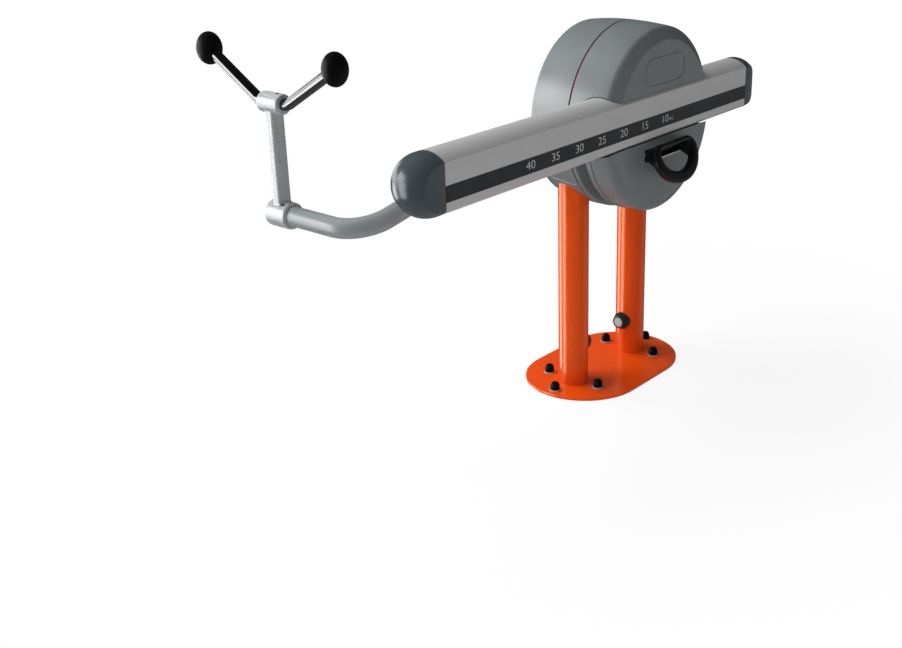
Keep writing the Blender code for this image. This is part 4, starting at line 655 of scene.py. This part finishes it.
outside = [(0, cover["face"]), (0.20, cover["face"]), (0.246, cover["face"]), (cover["faceRadius"], cover["face"]),
           (0.2562, -0.2306), (0.2575, -0.2298), (0.272, -0.2206)]
outside += easeCurve((0.2835, -0.2133), (0.2942, -0.2066), (0.2944, -0.194), 9)
for i in range(8, -1, -1):
    part = i / 8
    along = cover["seam"] + part * (-0.190 - cover["seam"])
    lift = (along - cover["seam"]) / (-0.201 - cover["seam"])
    outside.append((cover["radius"] - cover["fall"] * lift * lift, along))
outside[-1] = (cover["radius"], cover["seam"] - 0.0016)
outside.append((cover["radius"] - 0.0016, cover["seam"]))
inside = [(0.2962, cover["seam"]), (0.2900, -0.199), (0.255, -0.227), (0, -0.227)]
upperCover = turnPiece("upperCover", outside + inside, hub, "Y", cover["steps"])
joinTo(upperCover, addBlock("below", (-0.5, -0.4, 0.4), (0.5, 0.1, cover["cut"])))
joinTo(upperCover, beamRod("tunnel", cover["tunnel"]))

badge = {"x": 0.004, "z": 1.083, "length": 0.216, "height": 0.082, "corner": 0.036, "groove": 0.0026,
         "recess": 0.0022, "thickness": 0.0016}


def roundedPlate(name, centre, length, height, corner, low, high, segments=12):
    # a block with its four short edges rounded
    block = addBlock(name, (centre[0] - length / 2, low, centre[1] - height / 2),
                     (centre[0] + length / 2, high, centre[1] + height / 2))
    return bevelEdges(block, corner, segments, lambda a, b: abs(a.x - b.x) < 1e-6 and abs(a.z - b.z) < 1e-6)


middle, groove = (badge["x"], badge["z"]), badge["groove"]
seat = cover["face"] + badge["recess"]
joinTo(upperCover, roundedPlate("badgeSeat", middle, badge["length"] + 2 * groove, badge["height"] + 2 * groove,
                                badge["corner"] + groove, -0.3, seat))
tidyMesh(upperCover, 0.00002)
wrapUp(upperCover, "lever", "drumPlastic", ("upper_cover",))

badgePanel = roundedPlate("badgePanel", middle, badge["length"], badge["height"], badge["corner"],
                          seat - 0.0003 - badge["thickness"], seat - 0.0003, 14)
insetFaces(badgePanel, 0.0015, lambda co, way: way.y < -0.9)
softenEdges(badgePanel, 0.0004, 2, 60)
wrapUp(badgePanel, "lever", "drumPlastic", ("badge_panel",), 40)
print("stage: upper cover")


# front half of the drum, below the beam

lower = {"radius": 0.294, "start": -0.1476, "shoulder": -0.205, "face": 0.245, "front": -0.231, "wall": 0.004,
         "cut": 0.9437, "tunnel": 0.094}


def trimBelow(thing):
    joinTo(thing, addBlock("above", (-0.5, -0.4, lower["cut"]), (0.5, 0.1, 1.5)))
    joinTo(thing, beamRod("lowerTunnel", lower["tunnel"]))
    return tidyMesh(thing, 0.00002)


band = [(0.2605, -0.1277), (0.260, -0.120)]
band += arcPoints((0.296, -0.104), 0.036, 180, 90, 10, 0.016 / 0.036)
band += [(0.2985, -0.0874), (0.2996, -0.0862), (0.300, -0.0845), (0.300, -0.074), (0.299, -0.073),
         (0.296, -0.073), (0.296, -0.0738), (0.292, -0.0738), (0.292, -0.0845), (0.256, -0.0962), (0.256, -0.1277)]
lowerDrum = turnPiece("lowerDrum", band, hub, "Y", cover["steps"], True)
wrapUp(trimBelow(lowerDrum), "lever", "drumPlastic", ("lower_drum",))

ringProfile = [(0.256, -0.135), (0.289, -0.135), (0.289, -0.1462), (0.2898, -0.147), (0.2952, -0.147),
               (0.296, -0.1462), (0.296, -0.1308), (0.2952, -0.1294), (0.2938, -0.1284), (0.292, -0.128),
               (0.256, -0.128)]
trimRing = turnPiece("trimRing", ringProfile, hub, "Y", cover["steps"], True)
wrapUp(trimBelow(trimRing), "lever", "drumPlastic", ("trim_ring",))

wide, face, front, shoulder, wall = (lower[key] for key in ("radius", "face", "front", "shoulder", "wall"))
bowl = [(0, front), (0.15, front), (0.232, front)]
bowl += arcPoints((face, shoulder), wide - face, 90, 0, 11, (front - shoulder) / (wide - face))
bowl += [(wide, -0.1484), (wide - 0.0008, lower["start"]), (wide - wall, lower["start"])]
inner = wide - face - 0.002
bowl += arcPoints((face - 0.002, shoulder + 0.004), inner, 0, 90, 6, (front - shoulder) / inner)
bowl.append((0, front + wall))
lowerCover = turnPiece("lowerCover", bowl, hub, "Y", cover["steps"])

pocket = {"half": 0.104, "low": 0.801, "high": 0.832, "deep": 0.022, "corner": 0.010, "wall": 0.004}
handle = {"pivot": (-0.228, 0.827), "span": 0.094, "knuckle": 0.015, "knuckleWidth": 0.018, "tilt": 21.0,
          "top": (-0.2655, 0.851), "half": 0.103, "corner": 0.030, "drop": 0.1155, "band": 0.0135, "foot": 0.011,
          "topUp": 0.0095, "topDown": 0.0085, "depth": 0.0145, "round": 0.0105, "pin": 0.004, "play": 0.001,
          "armBack": ((0, -0.014), (-0.0160, 0.0215)), "armFront": ((-0.281, 0.789), (-0.261, 0.856)),
          "nose": (-0.2535, 0.832, 0.0155), "dish": 0.0075, "voxel": 0.0012, "smooth": 6}
pocketFloor = lower["front"] + pocket["deep"]


def pocketPlate(name, growth, near, far):
    # the pocket's rounded outline, grown by that much, from near to far
    low, high = pocket["low"], pocket["high"]
    return roundedPlate(name, (0, (low + high) / 2), 2 * (pocket["half"] + growth), high - low + 2 * growth,
                        pocket["corner"] + growth, near, far)


wall = pocket["wall"]
joinTo(lowerCover, pocketPlate("pocketWalls", wall, lower["front"] + 0.002, pocketFloor + wall), "UNION")
joinTo(lowerCover, pocketPlate("pocketVoid", 0, lower["front"] - 0.03, pocketFloor))


def cutSlots(thing):
    # the two slots that the handle's knuckles and the crank turn in
    y, z = handle["pivot"]
    for side in (-1, 1):
        x = side * handle["span"]
        half = handle["knuckleWidth"] / 2 + handle["play"]
        joinTo(thing, addRod("knuckleSlot", (x - half, y, z), (x + half, y, z), handle["knuckle"] + handle["play"], 64))
        joinTo(thing, addBlock("crankSlot", (x - half, -0.232, z - 0.015), (x + half, -0.199, z + 0.015)))


cutSlots(lowerCover)
wrapUp(trimBelow(lowerCover), "lever", "drumPlastic", ("lower_cover",))

# dark sheet inside the pocket: painted shade for the pocket's shadowed inside
shadeLining = {"gap": 0.0004, "thick": 0.0010, "start": 0.0012}
gap, thick = shadeLining["gap"], shadeLining["thick"]
# near-black sheet that paints the shade inside the pocket
shadeLiner = pocketPlate("pocketPaintedShade", -gap, lower["front"] + shadeLining["start"], pocketFloor - gap)
joinTo(shadeLiner, pocketPlate("shadeLinerVoid", -gap - thick, lower["front"] - 0.03, pocketFloor - gap - thick))
cutSlots(shadeLiner)
tidyMesh(shadeLiner)
wrapUp(shadeLiner, "lever", "blackRubber", (), 40)

# thin rod along the pocket's lower lip: a real edge, coloured light to paint the highlight it catches
sillHighlight = {"from": -0.045, "to": 0.102, "radius": 0.0023, "y": -0.2320, "z": 0.8002}
sillHighlightBar = addRod("pocketSillHighlight", (sillHighlight["from"], sillHighlight["y"], sillHighlight["z"]), (sillHighlight["to"], sillHighlight["y"], sillHighlight["z"]),
                 sillHighlight["radius"], 20)
softenEdges(sillHighlightBar, 0.0004, 2, 60)
# its light colour is a painted highlight along the sill
wrapUp(sillHighlightBar, "lever", "glidePlastic", (), 40)

# small screw in the lower cover's side
sideScrew = {"place": (-0.2845, -0.1734, 0.8447), "head": 0.0042, "proud": 0.0008, "slot": 0.0016}
x, y, z = sideScrew["place"]
base = Vector((x, y, z))
way = Vector((x, 0, z - hubHeight)).normalized()
screwHead = addRod("coverScrew", base - way * 0.002, base + way * sideScrew["proud"], sideScrew["head"], 32)
softenEdges(screwHead, 0.0005, 3, 50)
joinTo(screwHead, addRod("screwHex", base - way * 0.001, base + way * 0.003, sideScrew["slot"], 6))
wrapUp(screwHead, "lever", "darkSteel")
print("stage: lower cover")


# weight beam

beamBar = beamRod("beamBar", beam["radius"], 160)
frontCut = ((0, beam["front"], 0), (0, -1, 0))


def onFront(a, b):
    # both ends of an edge lie on the beam's flat front
    return abs(a.y - beam["front"]) < 1e-5 and abs(b.y - beam["front"]) < 1e-5


sliceOff(beamBar, frontCut, ((beam["left"], 0, 0), (-1, 0, 0)), ((beam["right"], 0, 0), (1, 0, 0)))
bevelEdges(beamBar, beam["edge"], 4, lambda a, b: onFront(a, b) and abs(a.x - b.x) > 1)
openEdit(beamBar)
for z in (beam["stripLow"], beam["stripHigh"]):
    pickAll()
    bpy.ops.mesh.bisect(plane_co=(0, 0, z), plane_no=(0, 0, 1))
pickFaces(beamBar, lambda co, way: way.y < -0.99 and beam["stripLow"] < co.z < beam["stripHigh"])
bpy.ops.mesh.extrude_region_move(TRANSFORM_OT_translate={"value": (0, beam["stripDeep"], 0)})
closeEdit()
tidyMesh(beamBar)
core = beamRod("core", beam["radius"] - beam["wall"], 96)
sliceOff(core, ((0, beam["front"] + beam["wall"], 0), (0, -1, 0)))
joinTo(beamBar, core)
for i in range(beam["holes"]):
    x = -i * beam["pitch"]
    joinTo(beamBar, addRod("indexHole", (x, beam["y"], beam["holeLow"]), (x, beam["y"], beam["holeHigh"]),
                           beam["hole"], 40))
tidyMesh(beamBar)
wrapUp(beamBar, "beam", "beamAluminium", ("beam_extrusion",), 25)

strip = addBlock("scaleStrip", (beam["left"], beam["front"] + 0.0002, beam["stripLow"] + 0.0002),
                 (beam["right"], beam["front"] + beam["stripDeep"] - 0.0002, beam["stripHigh"] - 0.0002))
insetFaces(strip, 0.0012, lambda co, way: way.y < -0.9)
softenEdges(strip, 0.0003, 2, 60)
wrapUp(strip, "beam", "stripBlack", ("scale_strip",), 40)

# plain scale numbers, light on the black strip
scale = {"numbers": ("10", "15", "20", "25", "30", "35", "40"), "height": 0.0345, "small": 0.0160, "wide": 1.22,
         "thin": -0.0003, "proud": 0.00006, "z": 0.924, "unitX": 0.0375, "unitDrop": 0.004}


def addWords(name, words, size, x, z):
    clearSelection()
    bpy.ops.object.text_add(location=(0, 0, 0), rotation=(math.pi / 2, 0, 0))
    thing = bpy.context.object
    thing.data.body = words
    thing.data.size = size
    thing.data.align_x = thing.data.align_y = "CENTER"
    thing.data.extrude = scale["proud"]
    thing.data.offset = scale["thin"] * size / scale["height"]
    bpy.ops.object.convert(target="MESH")
    thing = nameIt(name)
    thing.scale = (scale["wide"], 1, 1)
    thing.location = (x, beam["front"] + 0.0001, z)
    settle(thing)
    tidyMesh(thing, 0.000001)
    return wrapUp(thing, "beam", "stripWhite", (), 0)


for i, number in enumerate(scale["numbers"]):
    addWords(f"scaleNumber{number}", number, scale["height"], -i * beam["pitch"], scale["z"])
addWords("scaleUnit", "KG", scale["small"], scale["unitX"], scale["z"] - scale["unitDrop"])
print("stage: beam and its scale")

endCap = {"straight": 0.014, "gap": 0.0003, "rightLength": 0.0497, "rightRound": 0.022, "edge": 0.0015}


def flattenFront(thing):
    sliceOff(thing, frontCut)
    return tidyMesh(bevelEdges(thing, endCap["edge"], 3, onFront))


centre = (beam["left"] - endCap["gap"], beam["y"], beam["z"])
wide = beam["radius"]
foot = [(0, 0), (wide - 0.0008, 0), (wide, 0.0008)]
profile = foot + [(wide, 0.007)] + arcPoints((0, endCap["straight"]), wide, 0, 90, 30)
leftCap = turnPiece("leftEndCap", facing(profile, -1), centre, "X", 144)
wrapUp(flattenFront(leftCap), "beam", "slatePlastic", ("left_end_cap",), 35)

centre = (beam["right"] + endCap["gap"], beam["y"], beam["z"])
rim, end = endCap["rightRound"], endCap["rightLength"]
profile = foot + [(wide, 0.012)] + arcPoints((wide - rim, end - rim), rim, 0, 90, 14)
profile += [(wide - rim - 0.01, end), (0, end)]
rightCap = turnPiece("rightEndCap", profile, centre, "X", 144)
wrapUp(flattenFront(rightCap), "beam", "slatePlastic", ("right_end_cap",), 35)
print("stage: end caps")


# tubes: a ring pulled straight and spun round its bends

def pullRing(step, cuts=3):
    for _ in range(cuts):
        bpy.ops.mesh.extrude_region_move(TRANSFORM_OT_translate={"value": step / cuts})


def bendRing(place, way, newWay, radius, steps):
    # carry the ring round a bend of that radius, from one direction to the next, and tell where it stands then
    axle = way.cross(newWay).normalized()
    angle = way.angle(newWay)
    centre = place + axle.cross(way) * radius
    bpy.ops.mesh.spin(steps=steps, dupli=False, angle=-angle, center=centre, axis=axle)
    return centre + Matrix.Rotation(angle, 3, axle) @ (place - centre)


def sweepTube(name, corners, bends, radius, sides, steps):
    # corners are the path's points; each inner one is rounded to its bend radius
    points = [Vector(corner) for corner in corners]
    way = (points[1] - points[0]).normalized()
    clearSelection()
    turn = Vector((0, 0, 1)).rotation_difference(way).to_euler()
    bpy.ops.mesh.primitive_circle_add(vertices=sides, radius=radius, location=points[0], rotation=turn)
    thing = settle(nameIt(name))
    openEdit(thing, "VERT")
    pickAll()
    here = points[0]
    for i in range(1, len(points) - 1):
        newWay = (points[i + 1] - points[i]).normalized()
        reach = bends[i - 1] * math.tan(way.angle(newWay) / 2)
        target = points[i] - way * reach
        pullRing(target - here)
        here = bendRing(target, way, newWay, bends[i - 1], steps)
        way = newWay
    pullRing(points[-1] - here)
    closeEdit()
    # close both ends
    openEdit(thing, "VERT")
    bpy.ops.mesh.select_non_manifold()
    bpy.ops.mesh.edge_face_add()
    closeEdit()
    return tidyMesh(thing)


lever = {"y": 0.128, "radius": 0.03015, "boss": 0.056, "bossLow": 0.093, "bossHigh": 0.163, "fall": 10.5,
         "reach": 1.0, "root": 0.045, "bend": 0.110, "end": 0.484, "edge": 0.004}
reach = lever["reach"]
cornerLow = Vector((-reach, lever["y"], hubHeight - reach * math.tan(math.radians(lever["fall"]))))
start = Vector((0, lever["y"], hubHeight))
toward = (cornerLow - start).normalized()
leverPath = (start + toward * lever["root"], cornerLow, (cornerLow.x, lever["end"], cornerLow.z))
leverTube = sweepTube("leverTube", leverPath, (lever["bend"],), lever["radius"], 80, 24)
wrapUp(leverTube, "lever", "greyPaint", ("lever_tube",), 40)

edge, wide, low, high = lever["edge"], lever["boss"], lever["bossLow"], lever["bossHigh"]
bossProfile = [(0.0202, high - 0.001), (0.0212, high), (wide - edge - 0.008, high)]
bossProfile += arcPoints((wide - edge, high - edge), edge, 90, 0, 5)
bossProfile += arcPoints((wide - edge, low + edge), edge, 0, -90, 5)
bossProfile += [(wide - edge - 0.008, low), (0.0202, low)]
boss = turnPiece("leverBoss", bossProfile, hub, "Y", 112, True)
wrapUp(boss, "lever", "greyPaint", ("lever_boss",), 40)

capTop = {"radius": 0.028, "from": 0.1633, "side": 0.1693, "top": 0.1813}
wide, low, shoulder = capTop["radius"], capTop["from"], capTop["side"]
profile = [(0, shoulder - 0.0002), (0.0203, shoulder - 0.0002), (0.0203, low), (wide - 0.0006, low),
           (wide, low + 0.0006)]
profile += arcPoints((0, shoulder), wide, 0, 90, 14, (capTop["top"] - shoulder) / wide)
axleCap = turnPiece("axleCap", profile, hub, "Y", 64)
wrapUp(axleCap, "lever", "blackPlastic", ("axle_cap",), 40)
print("stage: lever")


# link casting between the lever and the grips

link = {"x": -1.0, "y": 0.450, "rise": 0.331, "socket": 0.0405, "mouth": 0.4055, "back": 0.4945, "round": 0.012,
        "bore": 0.03065, "floor": 0.4845, "width": 0.048, "depth": 0.040, "corner": 0.016, "sleeve": 0.0305,
        "sleeveLow": 0.406, "sleeveHigh": 0.494, "gripBore": 0.01735, "voxel": 0.0018, "screwSeat": 0.0053,
        "screwSink": 0.0086, "sinkDeep": 0.0022, "screwDeep": 0.0035, "screw": 0.005, "screwHex": 0.0027}
x, low, high = link["x"], cornerLow.z, cornerLow.z + link["rise"]
lowAxis, highAxis = Vector((x, 0, low)), Vector((x, 0, high))
wide, corner = link["socket"], link["round"]
profile = [(0, link["mouth"]), (wide - 0.0015, link["mouth"]), (wide, link["mouth"] + 0.0015)]
profile += arcPoints((wide - corner, link["back"] - corner), corner, 0, 90, 8) + [(0, link["back"])]
casting = turnPiece("linkCasting", profile, lowAxis, "Y", 72)
half, deep = link["width"] / 2, link["depth"] / 2
bar = addBlock("linkBar", (x - half, link["y"] - deep, low + 0.015), (x + half, link["y"] + deep, high - 0.010))
bevelEdges(bar, link["corner"], 8, lambda a, b: abs(a.z - b.z) > 0.1)
joinTo(casting, bar, "UNION")
wide, start, end = link["sleeve"], link["sleeveLow"], link["sleeveHigh"]
profile = [(0, start), (wide - 0.003, start), (wide, start + 0.003), (wide, end - 0.003), (wide - 0.003, end), (0, end)]
joinTo(casting, turnPiece("sleeve", profile, highAxis, "Y", 64), "UNION")
runTool(casting, "REMESH", mode="VOXEL", voxel_size=link["voxel"])
runTool(casting, "SMOOTH", factor=0.5, iterations=24)
joinTo(casting, addRod("socketBore", (x, 0.36, low), (x, link["floor"], low), link["bore"], 80))
joinTo(casting, addRod("gripBore", (x, 0.36, highAxis.z), (x, 0.54, highAxis.z), link["gripBore"], 64))
# each set screw: its foot, the direction that it stands in, the bore that it reaches and the casting's radius there
screws = {"lower": (Vector((x, 0.4275, low)), Vector((-0.45, 0, 0.9)).normalized(), 0.03015, 0.0405),
          "upper": (Vector((x, 0.4260, highAxis.z)), Vector((0, 0, 1)), 0.01685, 0.0305)}
for base, way, bore, outer in screws.values():
    outside = base + way * outer * 1.4
    joinTo(casting, addRod("screwSeat", base, outside, link["screwSeat"], 32))
    joinTo(casting, addRod("screwSink", base + way * (outer - link["sinkDeep"]), outside, link["screwSink"], 32))
tidyMesh(casting)
wrapUp(casting, "link", "silverCasting", ("link_arm",), 40)

for word, (base, way, bore, outer) in screws.items():
    top = base + way * (outer - link["screwDeep"])
    screw = addRod(f"{word}SetScrew", base + way * (bore + 0.0005), top, link["screw"], 40)
    joinTo(screw, addRod("hexSocket", top - way * 0.003, top + way * 0.003, link["screwHex"], 6))
    softenEdges(screw, 0.0004, 2, 40)
    wrapUp(screw, "link", "darkSteel", (f"{word}_set_screw",), 35)
print("stage: link")


# grips

grips = {"radius": 0.01685, "half": 0.264, "rise": 0.127, "knee": 0.0565, "bend": 0.050, "ball": 0.0485,
         "narrow": 0.0390, "thick": 0.0365, "socket": 0.030}
gripMiddle = Vector((link["x"], link["y"], highAxis.z))
front, rear = (gripMiddle + Vector((0, side * grips["half"], grips["rise"])) for side in (-1, 1))
kneeFront, kneeRear = (gripMiddle + Vector((0, side * grips["knee"], 0)) for side in (-1, 1))
inset = grips["thick"] - grips["socket"]
gripPath = (front + (kneeFront - front).normalized() * inset, kneeFront, kneeRear,
            rear + (kneeRear - rear).normalized() * inset)
gripTube = sweepTube("gripTube", gripPath, (grips["bend"], grips["bend"]), grips["radius"], 56, 14)
wrapUp(gripTube, "grips", "chromeTube", ("grip_bar",), 40)

for word, centre, knee in (("front", front, kneeFront), ("rear", rear, kneeRear)):
    clearSelection()
    bpy.ops.mesh.primitive_uv_sphere_add(segments=64, ring_count=36, radius=grips["ball"], location=centre,
                                         rotation=(math.pi / 2, 0, 0))
    knobBall = nameIt(f"{word}BallKnob")
    knobBall.scale = (grips["narrow"] / grips["ball"], 1, grips["thick"] / grips["ball"])
    settle(knobBall)
    inward = (knee - centre).normalized()
    joinTo(knobBall, addRod("tubeWay", centre + inward * (inset - 0.0003), centre + inward * 0.08,
                            grips["radius"] + 0.0006, 56))
    tidyMesh(knobBall)
    wrapUp(knobBall, "grips", "blackPlastic", (f"{word}_ball_knob",), 40)
print("stage: grips")


# release handle: the D is drawn flat, inset to a band, pulled to its depth and rounded, then gets its arms

tilt = math.radians(handle["tilt"])
down = Vector((0, -math.sin(tilt), -math.cos(tilt)))
outward = Vector((0, -math.cos(tilt), math.sin(tilt)))
across = Vector((1, 0, 0))
topMiddle = Vector((0, *handle["top"]))


def dPlate(name, grow, top):
    # a D grown by that much at its sides and foot, with its own upper edge
    wide = handle["half"] + grow
    deep = handle["drop"] + grow - (handle["foot"] if grow < 0 else 0)
    corner = max(handle["corner"] + grow, 0.008)
    shoulder = top + corner
    points = arcPoints((wide - corner, shoulder), corner, -90, 0, 10)
    points += arcPoints((0, shoulder + 0.004), wide, 0, 180, 31, (deep - shoulder - 0.004) / wide)
    points += arcPoints((corner - wide, shoulder), corner, 180, 270, 10)
    points = [topMiddle + across * a + down * d - outward * handle["depth"] for a, d in points]
    thing = drawLine(name, points + [points[0]])
    pickAll()
    bpy.ops.mesh.remove_doubles(threshold=0.00001)
    pickAll()
    bpy.ops.mesh.edge_face_add()
    pickAll()
    bpy.ops.mesh.extrude_region_move(TRANSFORM_OT_translate={"value": outward * 2 * handle["depth"]})
    closeEdit()
    settle(thing)
    return tidyMesh(thing)


grip = dPlate("releaseHandle", handle["band"], -handle["topUp"])
hole = dPlate("handleHole", -handle["band"], handle["topDown"])
moveMesh(hole, -outward * 0.01)
openEdit(hole)
pickFaces(hole, lambda co, way: way.dot(outward) > 0.9)
bpy.ops.transform.translate(value=outward * 0.03)
closeEdit()
joinTo(grip, hole)
softenEdges(grip, handle["round"], 5, 50)
tidyMesh(grip)
y, z = handle["pivot"]
noseY, noseZ, noseRadius = handle["nose"]
# the arm's side view is pulled to its four corners
frontLow, frontHigh = handle["armFront"]
backLow, backHigh = ((y + backY, z + backZ) for backY, backZ in handle["armBack"])
corners = {(0, 0): frontLow, (0, 1): frontHigh, (1, 0): backLow, (1, 1): backHigh}
unit = 0.01
half = handle["knuckleWidth"] / 2
for side in (-1, 1):
    x = side * handle["span"]
    arm = addBlock("arm", (x - half, 0, 0), (x + half, unit, unit))
    for (atY, atZ), (newY, newZ) in corners.items():
        openEdit(arm, "VERT")
        pickPoints(arm, lambda co, p=atY, q=atZ: abs(co.y - unit * p) < 1e-5 and abs(co.z - unit * q) < 1e-5)
        bpy.ops.transform.translate(value=(0, newY - unit * atY, newZ - unit * atZ))
        closeEdit()
    tidyMesh(arm)
    joinTo(arm, addRod("knuckle", (x - half, y, z), (x + half, y, z), handle["knuckle"], 48), "UNION")
    joinTo(arm, addRod("nose", (x - half, noseY, noseZ), (x + half, noseY, noseZ), noseRadius, 48), "UNION")
    joinTo(grip, arm, "UNION")
runTool(grip, "REMESH", mode="VOXEL", voxel_size=handle["voxel"])
runTool(grip, "SMOOTH", factor=0.5, iterations=handle["smooth"])
for side in (-1, 1):
    x = side * handle["span"]
    joinTo(grip, addRod("pinBore", (x - 0.02, y, z), (x + 0.02, y, z), handle["pin"] + 0.0005, 32))
    # the shallow round recess in the knuckle's outer side
    joinTo(grip, addRod("noseDish", (x + side * 0.0083, noseY, noseZ), (x + side * 0.02, noseY, noseZ),
                        handle["dish"], 40))
tidyMesh(grip)
wrapUp(grip, "release", "blackRubber", ("release_handle",), 40)
print("stage: release handle")


# CAD pieces that keep their own shape get a finished material

keptFinishes = {
    "darkSteel": ("bearing_frame", "axle", "stop_arm", "pawl_guide", "weight_block"),
    "zincSteel": ("front_bearing", "rear_bearing", "release_crank", "pawl_pin", "left_handle_pin",
                  "right_handle_pin"),
    "beamAluminium": ("carriage_plate", "upper_guide", "lower_guide"),
    "glidePlastic": ("upper_glide", "lower_glide"),
    "blackRubber": ("upper_stop_buffer", "lower_stop_buffer"),
}
for finish, nodes in keptFinishes.items():
    for node in nodes:
        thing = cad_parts[node]
        for slot in thing.material_slots:
            slot.material = finishFor(finish)
print("stage: kept pieces have their finishes")
